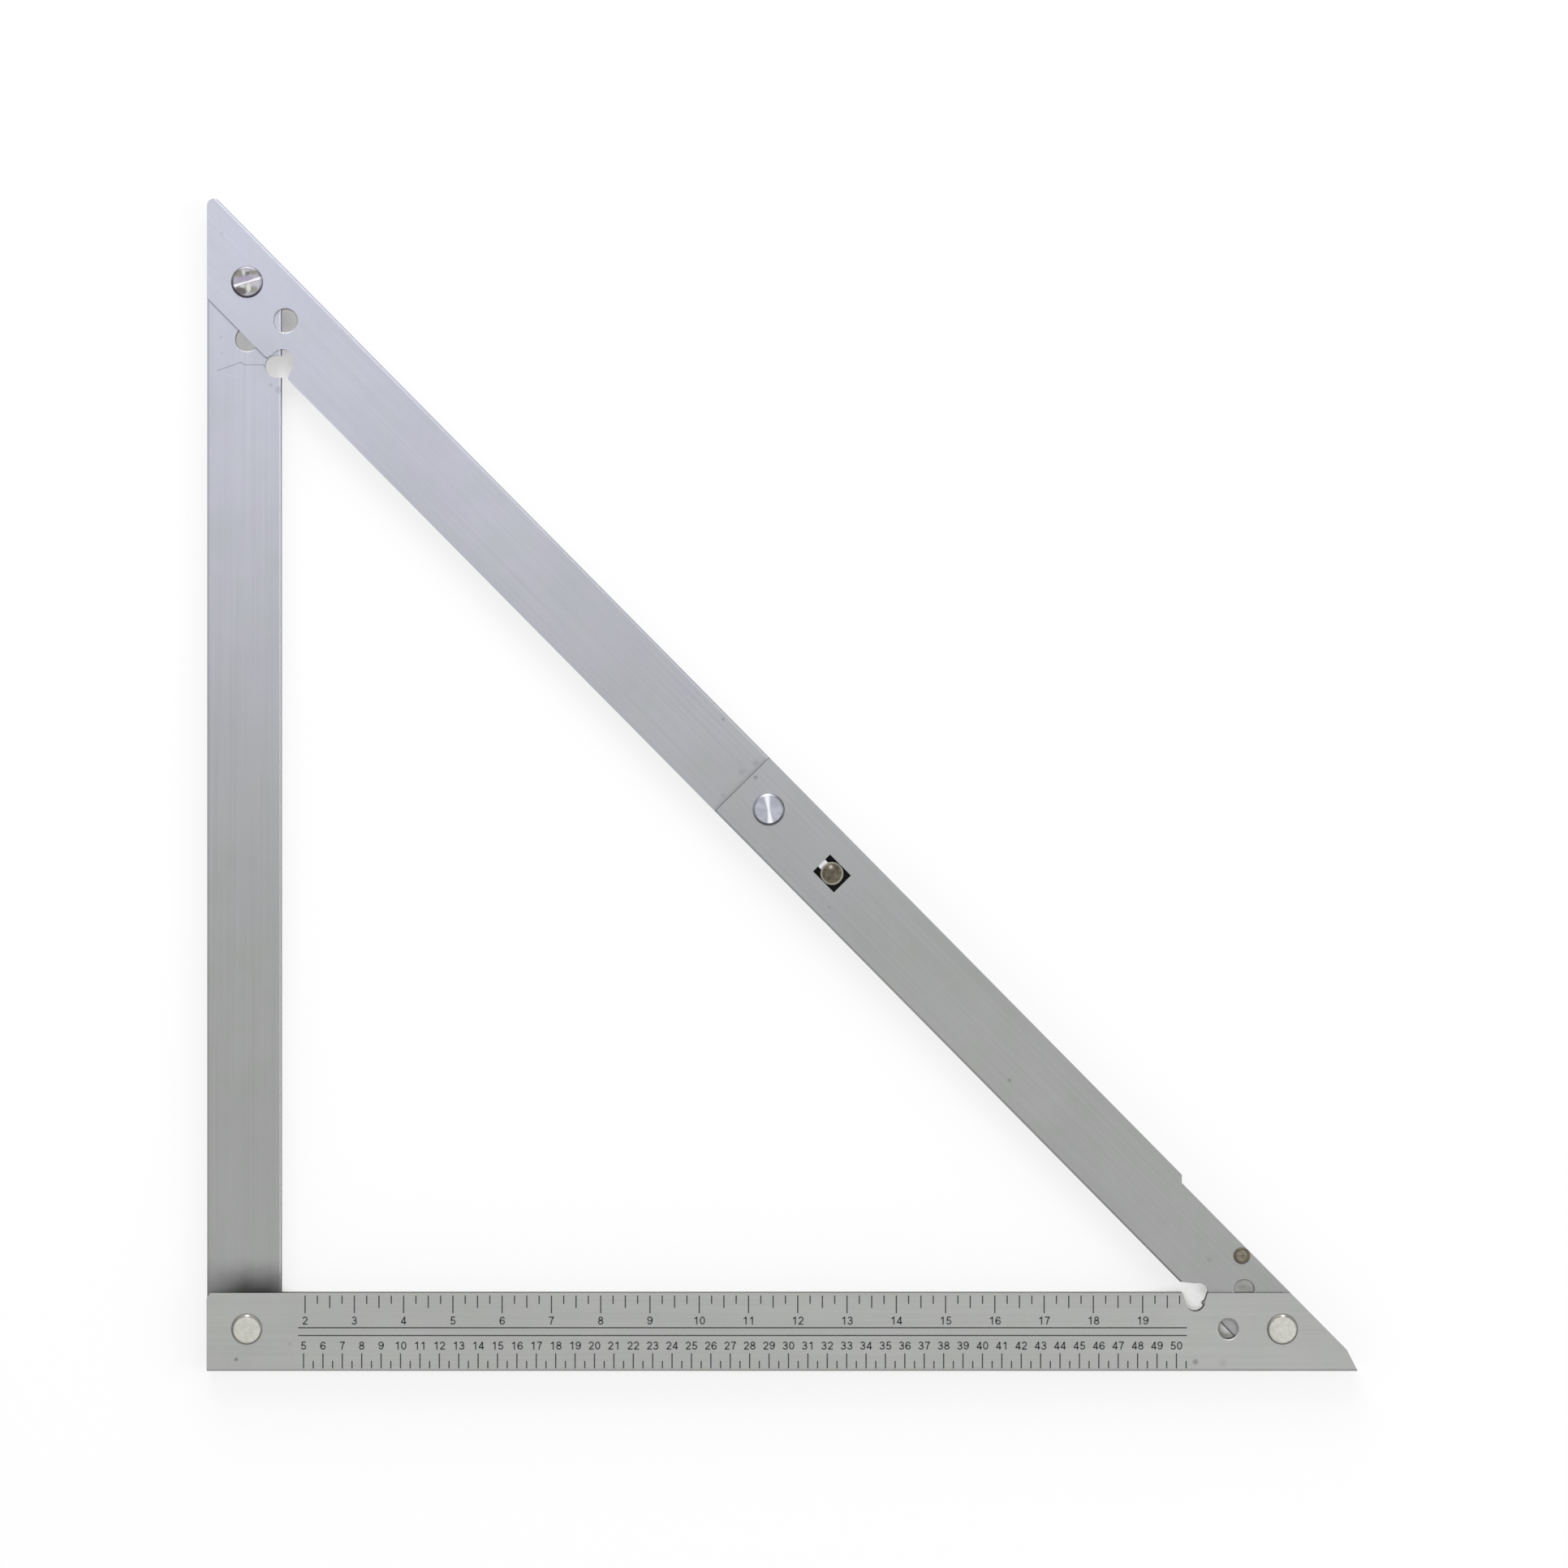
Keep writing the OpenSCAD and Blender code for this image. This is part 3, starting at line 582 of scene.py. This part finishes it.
def upright_shade(finish):
    """Painted shade: a dark band just above the base leg, where the upright passes under its front, densest right of
    its middle.
    """
    height = finish.part(finish.place, "Y")
    side = finish.part(finish.place, "X")
    ragged = BAND_RAGGED * finish.noise(finish.place, BAND_CLOUD, detail=3.0)
    depth = finish.ramp(abs(side - BAND_MIDDLE), *BAND_SIDES, *BAND_DEPTHS)
    return 1 - depth * finish.ramp(height - ragged, base_top - BAND_FOOT, base_top + BAND_TOP, 1.0, 0.0)


def brace_place(origin, reach, aside=0.0):
    """Place at the distance reach along the braces from origin, and aside to their left."""
    return np.array(origin[:2]) + reach * along_brace + aside * across_brace


# Painted shadow: a thin dark line on the upright along the upper brace's edge, which lies over it.
brace_edge_shadow = (*(brace_place(top_pivot, reach, -BRACE_EDGE) for reach in BRACE_SHADOW_SPAN), BRACE_SHADOW_DEPTH)
upright_scratches_and_shadows = [brace_edge_shadow, *polyline(SCRATCH, SCRATCH_DEPTH), *polyline(PALE_SCRATCH, PALE_SCRATCH_DEPTH)]
upright_hole = ((top_pivot[0], top_pivot[1] - UPRIGHT_HANG_REACH), WIDE_HOLE)
dress("upright_leg", satin("upright_aluminium", math.pi / 2, GREY_TONE, [upright_hole], UPRIGHT_KNOCKS,
                           upright_scratches_and_shadows, upright_shade))


# Braces: a shallow channel that wraps the upright leg, and a deeper one that wraps the first and lies in the base leg.
# Both have a few dark knocks, and thin painted shadow lines where the next bar's edge lies over them. The upper one is
# painted black round the lock button, as the shade inside the lower brace's window.
WINDOW_SHADE_RADIUS = 10 * MM
WINDOW_SHADE_EDGE = 0.8 * MM
WINDOW_SHADE_RAGGED = 1 * MM
WINDOW_SHADE_CLOUD = 2 * MM
WINDOW_SHADE_LEVEL = 0.12
UPPER_KNOCKS = ((891, 886, 1.3 * MM, 0.245), (931, 940, 2.4 * MM, 0.14), (914, 951, 2.6 * MM, 0.105),
                (891, 980, 1.6 * MM, 0.105), (273, 287, 1.2 * MM, 0.105))
LOWER_KNOCKS = ((931, 958, 1.5 * MM, 0.315), (925, 952, 1.2 * MM, 0.21), (1244, 1331, 1.3 * MM, 0.28),
                (1461, 1582, 1.3 * MM, 0.315), (1490, 1552, 2 * MM, 0.105), (1022, 1118, 1 * MM, 0.21))
LOWER_END_REACH = 18.7 * MM
LEG_SHADOW_LENGTH = 50 * MM
EDGE_SHADOW_DEPTH = 0.5
hang_reach = tip_pivot[0] - hanging_hole[0]
middle_pivot = joints["brace_fold"]["pos_m"]
button_low, button_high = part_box("lock_button")
button_centre = (button_low + button_high) / 2


def grease(finish):
    """Painted shade: black round the lock button, as the lower brace's window is in shadow, with a soft uneven border.
    """
    away = finish.away(button_centre) + WINDOW_SHADE_RAGGED * finish.noise(finish.place, WINDOW_SHADE_CLOUD, detail=3.0)
    return finish.ramp(away, WINDOW_SHADE_RADIUS, WINDOW_SHADE_RADIUS + WINDOW_SHADE_EDGE, WINDOW_SHADE_LEVEL, 1.0)


# Painted shadows: a thin dark line on the upper brace under the lower brace's end, and one on the lower brace under
# the base leg's top edge.
end_shadow = (*(brace_place(middle_pivot, -LOWER_END_REACH, aside) for aside in (-BRACE_EDGE, BRACE_EDGE)), EDGE_SHADOW_DEPTH)
leg_edge_shadow = ((tip_pivot[0] - LEG_SHADOW_LENGTH, base_top), (tip_pivot[0], base_top), EDGE_SHADOW_DEPTH)
upper_hole = (brace_place(top_pivot, hang_reach), WIDE_HOLE)
lower_hole = (brace_place(tip_pivot, -hang_reach), NARROW_HOLE)
dress("upper_brace", satin("upper_brace_aluminium", brace_angle, GREY_TONE, [upper_hole], UPPER_KNOCKS, [end_shadow],
                           grease))
dress("lower_brace", satin("lower_brace_aluminium", brace_angle, GREY_TONE, [lower_hole], LOWER_KNOCKS, [leg_edge_shadow]))


# Rivets at the corner and the tip: pale aluminium stubs, lapped to a smooth slightly crowned face inside a chamfer.
# The chamfer is painted dark as shade, widest at the top and broken there by a painted glint, and the head's outer
# edge is darkened where it meets the bar.
PALE_FACE = ((0.49, 0.485, 0.44), (0.6, 0.59, 0.54))
PALE_MOTTLE = 2.2 * MM
PALE_ROUGHNESS = 0.42
PALE_RELIEF = 0.02 * MM
CHAMFER_SHADE = (0.16, 0.155, 0.14)
CHAMFER_EDGE = (1.3 * MM, 0.85 * MM)
CHAMFER_SHIFT = 0.5 * MM
GLINT = (0.95, 0.95, 0.9)
GLINT_ASIDE = 0.2 * MM
GLINT_INSIDE = 1.1 * MM
GLINT_STRETCH = (0.4, 1, 1)
GLINT_EDGE = (0.35 * MM, 0.9 * MM)
GLINT_RAGGED = 0.5 * MM
HEAD_OUTER_DARK = (0.08, 0.08, 0.07)
OUTER_DARK_SPAN = (0.3 * MM, 0.05 * MM)
SHANK_RADIUS = 4 * MM
TAIL_DEPTH = 0.7 * MM
HEAD_CHAMFER = (1.0 * MM, 0.7 * MM)
HEAD_EDGE = (0.04 * MM, 0.1 * MM)
CHAMFER_OVERRUN = 0.02 * MM
FACE_INSET = 0.1 * MM
CROWN = 0.15 * MM
CROWN_STEPS = 14
TURN_STEPS = 144
SHARP_ANGLE = 28
corner_low, corner_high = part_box("corner_rivet_front")
corner_pivot = (corner_low + corner_high) / 2
leg_head_radius = (corner_high.x - corner_low.x) / 2
leg_head_top = corner_high.z


def turned(profile, centre):
    """Closed surface of revolution: for the profile point (r, z) and the angle a, a ring's point is at
    centre + (r cos a, r sin a) and height z. The first and last profile points lie on the axis, as poles."""
    radii, heights = np.array(profile).T
    angles = np.arange(TURN_STEPS) * 2 * math.pi / TURN_STEPS
    rings = np.empty((len(radii) - 2, TURN_STEPS, 3))
    rings[..., 0] = centre[0] + radii[1:-1, None] * np.cos(angles)
    rings[..., 1] = centre[1] + radii[1:-1, None] * np.sin(angles)
    rings[..., 2] = heights[1:-1, None]
    poles = [(centre[0], centre[1], heights[0]), (centre[0], centre[1], heights[-1])]
    here = np.arange(TURN_STEPS)
    after = (here + 1) % TURN_STEPS
    rows = np.arange(len(radii) - 3)[:, None] * TURN_STEPS
    quads = np.stack([rows + here, rows + after, rows + TURN_STEPS + after, rows + TURN_STEPS + here], -1)
    last = (len(radii) - 3) * TURN_STEPS
    low_pole = (len(radii) - 2) * TURN_STEPS
    low_fan = np.stack([after, here, np.full(TURN_STEPS, low_pole)], -1)
    high_fan = np.stack([last + here, last + after, np.full(TURN_STEPS, low_pole + 1)], -1)
    return np.vstack([rings.reshape(-1, 3), poles]), [quads.reshape(-1, 4), low_fan, high_fan]


def smooth(piece):
    """Shades a piece smoothly, apart from its sharp edges."""
    piece.data.shade_smooth()
    piece.data.set_sharp_from_angle(angle=math.radians(SHARP_ANGLE))
    return piece


def head_side(face, top, radius):
    """Profile of a head up to its face: an upright side, a rounded edge and a chamfer."""
    width, height = HEAD_CHAMFER
    inset, drop = HEAD_EDGE
    return [(radius, face), (radius, top - height - drop), (radius - inset, top - height),
            (radius - width / 2, top - height / 2), (radius - width - CHAMFER_OVERRUN, top - CROWN)]


def face_radius(radius):
    """Radius of the face inside the chamfer of a head."""
    return radius - HEAD_CHAMFER[0] - FACE_INSET


def crown(top, radius):
    """Low dome inside the chamfer: its height falls from the top with the square of the distance from the middle."""
    steps = np.linspace(face_radius(radius), 0.0, CROWN_STEPS)
    return list(zip(steps, top - CROWN * (steps / radius) ** 2))


def stub(face, tail, flare, outline):
    """Profile of a rivet from the pole of its flared tail, through its shank, to its head's outline."""
    return [(0.0, tail), (SHANK_RADIUS + flare, tail), (SHANK_RADIUS, tail + flare), (SHANK_RADIUS, face), *outline]


def mirrored(profile):
    """The profile of the same rivet on the back."""
    return [(radius, -height) for radius, height in reversed(profile)]


def pale_metal(name, centre, radius):
    """Mottled pale face in a ring of painted shade on the chamfer, which is widest at the top and broken there by a
    painted glint, and darker at the head's outer edge.
    """
    finish = Finish(name)
    offset = finish.offset(centre)
    mottle = finish.noise(finish.place, PALE_MOTTLE, detail=5.0, roughness=0.7)
    colour = finish.mix(*PALE_FACE, finish.ramp(mottle, 0.3, 0.7))
    # Painted shade on the chamfer, shifted so that it is widest at the top.
    lowered = finish.length(finish.vector("ADD", offset, (0, CHAMFER_SHIFT, 0)))
    ring = finish.ramp(lowered, *(radius - inside for inside in CHAMFER_EDGE))
    colour = finish.mix(colour, CHAMFER_SHADE, 0.85 * ring)
    # Painted glint on the top of the chamfer.
    spot = finish.vector("SUBTRACT", offset, (GLINT_ASIDE, radius - GLINT_INSIDE, 0))
    ragged = finish.length(finish.vector("MULTIPLY", spot, GLINT_STRETCH)) + GLINT_RAGGED * mottle
    colour = finish.mix(colour, GLINT, finish.ramp(ragged, *GLINT_EDGE, 1.0, 0.0))
    outer_dark = finish.ramp(finish.away(centre), *(radius - inside for inside in OUTER_DARK_SPAN))
    return finish.ready(finish.mix(colour, HEAD_OUTER_DARK, outer_dark), PALE_ROUGHNESS + 0.15 * mottle, PALE_RELIEF * mottle)


for end, centre, flare in (("corner", corner_pivot, 0.0), ("tip", tip_pivot, TAIL_DEPTH)):
    pale = pale_metal(f"pale_{end}_rivet", centre, leg_head_radius)
    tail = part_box(f"{end}_rivet_front")[0].z
    outline = head_side(front_face, leg_head_top, leg_head_radius) + crown(leg_head_top, leg_head_radius)
    profile = stub(front_face, tail, flare, outline)
    for side, rivet_profile in (("front", profile), ("back", mirrored(profile))):
        rivet = smooth(new_piece(f"{end}_rivet_{side}_lapped", turned(rivet_profile, centre), pale,
                                 "base"))
        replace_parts(rivet, f"{end}_rivet_{side}")


# Rivets at the top and the middle: their heads are faced on a lathe, which leaves fine rings in a shallow dish.
# A bright band across each head, clouds that follow the angle round it, and the darker side of its rim are painted
# reflection and shade of the rings' glint. The top one has blots of painted reflection above and below its band.
RING_PITCH = 0.4 * MM
RING_DEPTH = 0.008 * MM
DISH_DEPTH = 0.1 * MM
DISH_STEPS = 110
LATHED_ROUGHNESS = 0.22
STAR_STRETCH = 70
RIM_EDGE = (6.7 * MM, 7.5 * MM)
RIM_FACING = (-0.9, 0.6)
RIM_DEPTHS = (0.55, 1.0)
TOP_STAR = 0.9
TOP_SHADOW = (0.0, -1.0)
TOP_BAND = (17, 0.28 * MM, 0.06, 0.3)
TOP_TONES = ((0.95, 0.93, 1.0), (0.52, 0.5, 0.56), (0.4, 0.39, 0.42), (0.07, 0.065, 0.08))
MIDDLE_STAR = 0.8
MIDDLE_SHADOW = (0.6, -0.8)
MIDDLE_BAND = (98, 0.5 * MM, 0.12, 0.7)
MIDDLE_TONES = ((0.95, 0.95, 1.0), (0.5, 0.51, 0.58), (0.41, 0.42, 0.48), (0.1, 0.105, 0.12))
LILAC = (0.36, 0.31, 0.45)
OLIVE = (0.27, 0.27, 0.23)
BROWN = (0.1, 0.095, 0.085)
PALE_GREEN = (0.72, 0.74, 0.66)
BLOT_EDGE = (1.05, 1.65)
BLOT_CLOUD = 1.6 * MM
TOP_REFLECTION_BLOTS = (
    (-1.6, 1.9, 5.2, 1.9, LILAC, 0.7),
    (-4.4, 4.2, 2.8, 2.2, OLIVE, 0.9),
    (2.6, 4.9, 2.9, 1.3, OLIVE, 0.8),
    (0.1, 4.2, 1.3, 1.2, BROWN, 0.7),
    (-3.4, -4.6, 3.8, 2.3, BROWN, 0.85),
    (3.4, -3.9, 2.6, 2.0, OLIVE, 0.8),
    (-1.8, 5.1, 0.9, 1.8, PALE_GREEN, 0.7),
    (0.8, -2.9, 1.3, 2.7, PALE_GREEN, 0.85),
    (-2.4, -2.2, 1.6, 1.0, PALE_GREEN, 0.5),
)


def dished_face(top, radius):
    """Face that falls towards its middle by the dish's depth, with a ripple of a ring's depth at each ring's pitch."""
    flat = face_radius(radius)
    steps = np.linspace(flat, 0.0, DISH_STEPS)
    ripple = RING_DEPTH * (1 - np.cos(2 * math.pi * steps / RING_PITCH)) / 2
    return list(zip(steps, top - DISH_DEPTH * (1 - (steps / flat) ** 2) - ripple))


def lathed_metal(name, centre, band, tones, star, shadow, reflection_blots=()):
    """Turned metal painted with the reflections of its rings: tones of its bright band, its light and dull clouds and
    its rim.
    band is (angle in degrees, width at the middle, spread outwards, softness). The clouds follow the angle round the
    centre in steps of star. The blots, each (east, north, half width, half height, tone, depth) in millimetres from
    the centre, are painted reflections. The rim is painted darkest on the side that shadow points to, as shade."""
    finish = Finish(name)
    angle, width, spread, softness = band
    bright, light, dull, rim_tone = tones
    offset = finish.offset(centre)
    radial = finish.vector("NORMALIZE", offset)
    away = finish.away(centre)
    stretched = finish.vector("MULTIPLY", offset, (STAR_STRETCH, STAR_STRETCH, 0))
    stars = finish.noise(finish.vector("ADD", radial, stretched), star, detail=3.0)
    rings = finish.rings(away, 3 * RING_PITCH)
    colour = finish.mix(dull, light, finish.ramp(stars + 0.05 * rings, 0.35, 0.65))
    ragged = finish.noise(finish.place, BLOT_CLOUD, detail=3.0, roughness=0.6)
    # Painted reflections in blots over the head.
    for east, north, half_width, half_height, tone, depth in reflection_blots:
        spot = finish.vector("SUBTRACT", offset, (east * MM, north * MM, 0))
        spot = finish.vector("MULTIPLY", spot, (1 / (half_width * MM), 1 / (half_height * MM), 0))
        colour = finish.mix(colour, tone, finish.ramp(finish.length(spot) + ragged, *BLOT_EDGE, depth, 0.0))
    # Painted reflection: a bright band across the head.
    normal = (-math.sin(math.radians(angle)), math.cos(math.radians(angle)), 0)
    across = abs(finish.dot(offset, normal)) / (width + spread * away)
    colour = finish.mix(colour, bright, finish.ramp(across, 1 - softness, 1 + softness, 1.0, 0.0))
    # Painted shade on the rim, darkest on the side that shadow points to.
    facing = finish.dot(radial, (*shadow, 0))
    rim = finish.ramp(away, *RIM_EDGE) * finish.ramp(facing, *RIM_FACING, *RIM_DEPTHS)
    return finish.ready(finish.mix(colour, rim_tone, rim), LATHED_ROUGHNESS + 0.15 * stars)


upper_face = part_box("upper_brace")[1].z
lower_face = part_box("lower_brace")[1].z
top_low, top_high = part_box("top_rivet")
brace_head_radius = (top_high.x - top_low.x) / 2
top_metal = lathed_metal("lathed_top_rivet", top_pivot, TOP_BAND, TOP_TONES, TOP_STAR, TOP_SHADOW, TOP_REFLECTION_BLOTS)
top_head = head_side(upper_face, top_high.z, brace_head_radius) + dished_face(top_high.z, brace_head_radius)
top_profile = [*mirrored(top_head), (SHANK_RADIUS, -upper_face), (SHANK_RADIUS, upper_face), *top_head]
top_rivet = smooth(new_piece("top_rivet_lathed", turned(top_profile, top_pivot), top_metal, "upper"))
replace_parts(top_rivet, "top_rivet")

middle_metal = lathed_metal("lathed_middle_rivet", middle_pivot, MIDDLE_BAND, MIDDLE_TONES, MIDDLE_STAR,
                            MIDDLE_SHADOW)
middle_low, middle_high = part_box("middle_rivet_front")
middle_head = head_side(lower_face, middle_high.z, brace_head_radius) + dished_face(middle_high.z, brace_head_radius)
middle_profile = stub(lower_face, middle_low.z, TAIL_DEPTH, middle_head)
for side, profile in (("front", middle_profile), ("back", mirrored(middle_profile))):
    middle_rivet = smooth(new_piece(f"middle_rivet_{side}_lathed", turned(profile, middle_pivot), middle_metal,
                                    "lower"))
    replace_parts(middle_rivet, f"middle_rivet_{side}")


# Washers, spacers and bushes between the bars: zinc-plated steel rings, and brass in the upright leg's tube.
# They are hardly seen, and keep the bars evenly apart.
ZINC_TONES = ((0.4, 0.41, 0.42), (0.6, 0.61, 0.63))
BRASS_TONES = ((0.5, 0.36, 0.15), (0.72, 0.56, 0.28))
BLOTCH_RELIEF = 0.01 * MM


def uneven_metal(name, tones, size, roughness):
    """Dull metal with an uneven tone, in blotches of the given size."""
    finish = Finish(name)
    uneven = finish.noise(finish.place, size, detail=4.0, roughness=0.6)
    return finish.ready(finish.mix(*tones, uneven), roughness + 0.15 * uneven, BLOTCH_RELIEF * uneven)


zinc = uneven_metal("zinc_plating", ZINC_TONES, 1.5 * MM, 0.35)
for name in ("corner_spacer_front", "corner_spacer_back", "middle_washer_front", "middle_washer_back",
             "tip_washer_front", "tip_washer_back"):
    dress(name, zinc)
brass = uneven_metal("turned_brass", BRASS_TONES, 2 * MM, 0.28)
for name in ("corner_bush", "top_bush"):
    dress(name, brass)


# Lock: a leaf of spring steel, riveted to the upper brace at one end, carries a round turned button on its other end.
LEAF_THICKNESS = 0.4 * MM
LEAF_ROOT = 8 * MM
LEAF_BEND = 8 * MM
LEAF_ARM = 15.3 * MM
LEAF_HALF_WIDTHS = (6 * MM, 2.5 * MM)
LEAF_SHOULDER = (-1.5 * MM, 2 * MM)
LEAF_STEPS = 40
PAD_RADIUS = 4.5 * MM
PAD_ANGLES = (0.06, math.pi - 0.02)
LEAF_TONES = ((0.06, 0.06, 0.065), (0.85, 0.85, 0.88))
LEAF_SHINE_END = (5.6 * MM, 5 * MM)
LEAF_OIL = 3 * MM
LEAF_ROUGHNESS = 0.2
BUTTON_TONES = ((0.08, 0.07, 0.05), (0.19, 0.17, 0.13))
BUTTON_BLOTCH = 3.5 * MM
BUTTON_RING = 0.5 * MM
BUTTON_RELIEF = 0.004 * MM
BUTTON_ROUGHNESS = 0.25
BUTTON_GLINT = (0.7, 0.68, 0.6)
BUTTON_EDGE = (1.4 * MM, 0.2 * MM)
BUTTON_EDGE_SHINE = 0.35
BUTTON_SPOT = (-0.6 * MM, 3.4 * MM)
BUTTON_SPOT_EDGE = (0.2 * MM, 1.5 * MM)
BUTTON_SPOT_SHINE = 0.7
button_radius = (button_high.x - button_low.x) / 2
leaf_low, leaf_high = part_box("lock_spring")
middle_place = np.array(middle_pivot[:2])
lock_reach = float((np.array(button_centre[:2]) - middle_place) @ along_brace)
root_end = lock_reach - LEAF_ARM


def smooth_step(values, low, high):
    """0 below low, 1 above high, and 3 t^2 - 2 t^3 between them."""
    share = np.clip((values - low) / (high - low), 0, 1)
    return share * share * (3 - 2 * share)


def leaf_shape():
    """Strip along the brace. Its half width falls from the root's to the neck's, then swells to a round pad; its foot
    falls smoothly from the root's level to the pad's."""
    reach = np.concatenate([np.linspace(root_end - LEAF_ROOT, lock_reach - PAD_RADIUS, LEAF_STEPS),
                            lock_reach - PAD_RADIUS * np.cos(np.linspace(*PAD_ANGLES, LEAF_STEPS))])
    root, neck = LEAF_HALF_WIDTHS
    half = root + (neck - root) * smooth_step(reach, *(root_end + end for end in LEAF_SHOULDER))
    pad = np.sqrt(np.clip(PAD_RADIUS ** 2 - (reach - lock_reach) ** 2, 0, None))
    half = np.where(reach < lock_reach, np.maximum(half, pad), pad)
    root_foot = leaf_high.z - LEAF_THICKNESS
    foot = root_foot + (leaf_low.z - root_foot) * smooth_step(reach, root_end, root_end + LEAF_BEND)
    return strip(middle_place + reach[:, None] * along_brace, half, foot, LEAF_THICKNESS)


# The leaf is nearly black, partly blackened steel and partly painted shade in the lower brace's window, with a painted
# highlight on its neck beside the button.
spring = Finish("spring_steel")
run = spring.dot(spring.offset(middle_pivot), (*along_brace, 0))
oiled = spring.noise(spring.place, LEAF_OIL, detail=3.0)
neck_shine = spring.ramp(run, *(lock_reach - before for before in LEAF_SHINE_END), 1.0, 0.0)
leaf_tone = spring.mix(*LEAF_TONES, neck_shine * spring.ramp(oiled, 0.2, 0.5, 0.7, 1.0))
painted_leaf_steel = spring.ready(leaf_tone, LEAF_ROUGHNESS + 0.1 * oiled)
leaf = new_piece("lock_leaf", leaf_shape(), painted_leaf_steel)
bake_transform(leaf)
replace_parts(leaf, "lock_spring")
dress("lock_spring_rivets", zinc)


class Browned(Finish):
    """Turned steel gone brown: faint rings round the centre over blotches."""

    def __init__(self, name, centre, tones, blotch, pitch):
        super().__init__(name)
        self.distance = self.away(centre)
        self.ring = self.rings(self.distance, pitch)
        self.blotches = self.noise(self.place, blotch, detail=4.0, roughness=0.65)
        self.colour = self.mix(*tones, self.ramp(self.blotches + 0.02 * self.ring, 0.35, 0.7))

    def stain(self, tone, share):
        """Brings the colour nearer to tone by share."""
        self.colour = self.mix(self.colour, tone, share)


button = Browned("browned_button", button_centre, BUTTON_TONES, BUTTON_BLOTCH, BUTTON_RING)
# Painted highlights: a lighter ring round the button's edge and a glint spot above its middle.
button_edge = [button_radius - inside for inside in BUTTON_EDGE]
button.stain(BUTTON_GLINT, button.ramp(button.distance, *button_edge, 0.0, BUTTON_EDGE_SHINE))
glint_away = button.away((button_centre.x + BUTTON_SPOT[0], button_centre.y + BUTTON_SPOT[1]))
button.stain(BUTTON_GLINT, button.ramp(glint_away, *BUTTON_SPOT_EDGE, BUTTON_SPOT_SHINE, 0.0))
button_roughness = BUTTON_ROUGHNESS + 0.2 * button.blotches
dress("lock_button", button.ready(button.colour, button_roughness, BUTTON_RELIEF * button.ring))


# Studs: a short round-edged steel pin is pressed into each face of the lower brace near its end, and has gone brown.
# Its turned face has a centre mark, and a ring of painted shade where the edge rounds over.
STUD_TONES = ((0.19, 0.17, 0.13), (0.3, 0.275, 0.225))
STUD_BLOTCH = 2 * MM
STUD_PITCH = 0.7 * MM
STUD_ROUGHNESS = 0.28
STUD_RELIEF = 0.006 * MM
STUD_DARK = (0.1, 0.075, 0.06)
STUD_DARK_EDGE = (0.55, 0.8)
STUD_DARK_DEPTH = 0.8
MARK_WIDTH = (0.15 * MM, 0.5 * MM)
MARK_REACH = (1.2 * MM, 2 * MM)
MARK_SHADE = 0.6
MARK_DEPTH = 0.05 * MM
STUD_ROUND = 0.6 * MM
STUD_ROUND_STEPS = 8
STUD_SHANK = 2 * MM
STUD_DISH = ((0.5, 0.01 * MM), (0.0, 0.04 * MM))
SHEET = 1 * MM
stud_low, stud_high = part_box("brace_studs")
stud_centre = (stud_low + stud_high) / 2
stud_radius = (stud_high.x - stud_low.x) / 2
pin = Browned("browned_studs", stud_centre, STUD_TONES, STUD_BLOTCH, STUD_PITCH)
# Painted shade: a darker ring where the edge rounds over.
dark_edge = [share * stud_radius for share in STUD_DARK_EDGE]
pin.stain(STUD_DARK, pin.ramp(pin.distance, *dark_edge, 0.0, STUD_DARK_DEPTH))
east, north = (pin.part(pin.offset(stud_centre), axis) for axis in ("X", "Y"))
mark = pin.ramp(abs(east).least(abs(north)), *MARK_WIDTH, 1.0, 0.0) * pin.ramp(pin.distance, *MARK_REACH, 1.0, 0.0)
pin.stain(STUD_DARK, MARK_SHADE * mark)
stud_metal = pin.ready(pin.colour, STUD_ROUGHNESS + 0.2 * pin.blotches, STUD_RELIEF * pin.ring - MARK_DEPTH * mark)
turns = np.linspace(0, math.pi / 2, STUD_ROUND_STEPS)
stud_inside = lower_face - SHEET
stud_profile = [(0.0, stud_inside), (STUD_SHANK, stud_inside), (STUD_SHANK, lower_face), (stud_radius, lower_face),
                *zip(stud_radius - STUD_ROUND + STUD_ROUND * np.cos(turns),
                     stud_high.z - STUD_ROUND + STUD_ROUND * np.sin(turns)),
                *((share * stud_radius, stud_high.z - depth) for share, depth in STUD_DISH)]
studs = joined([turned(profile, stud_centre) for profile in (stud_profile, mirrored(stud_profile))])
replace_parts(smooth(new_piece("browned_stud_pair", studs, stud_metal, "lower")), "brace_studs")
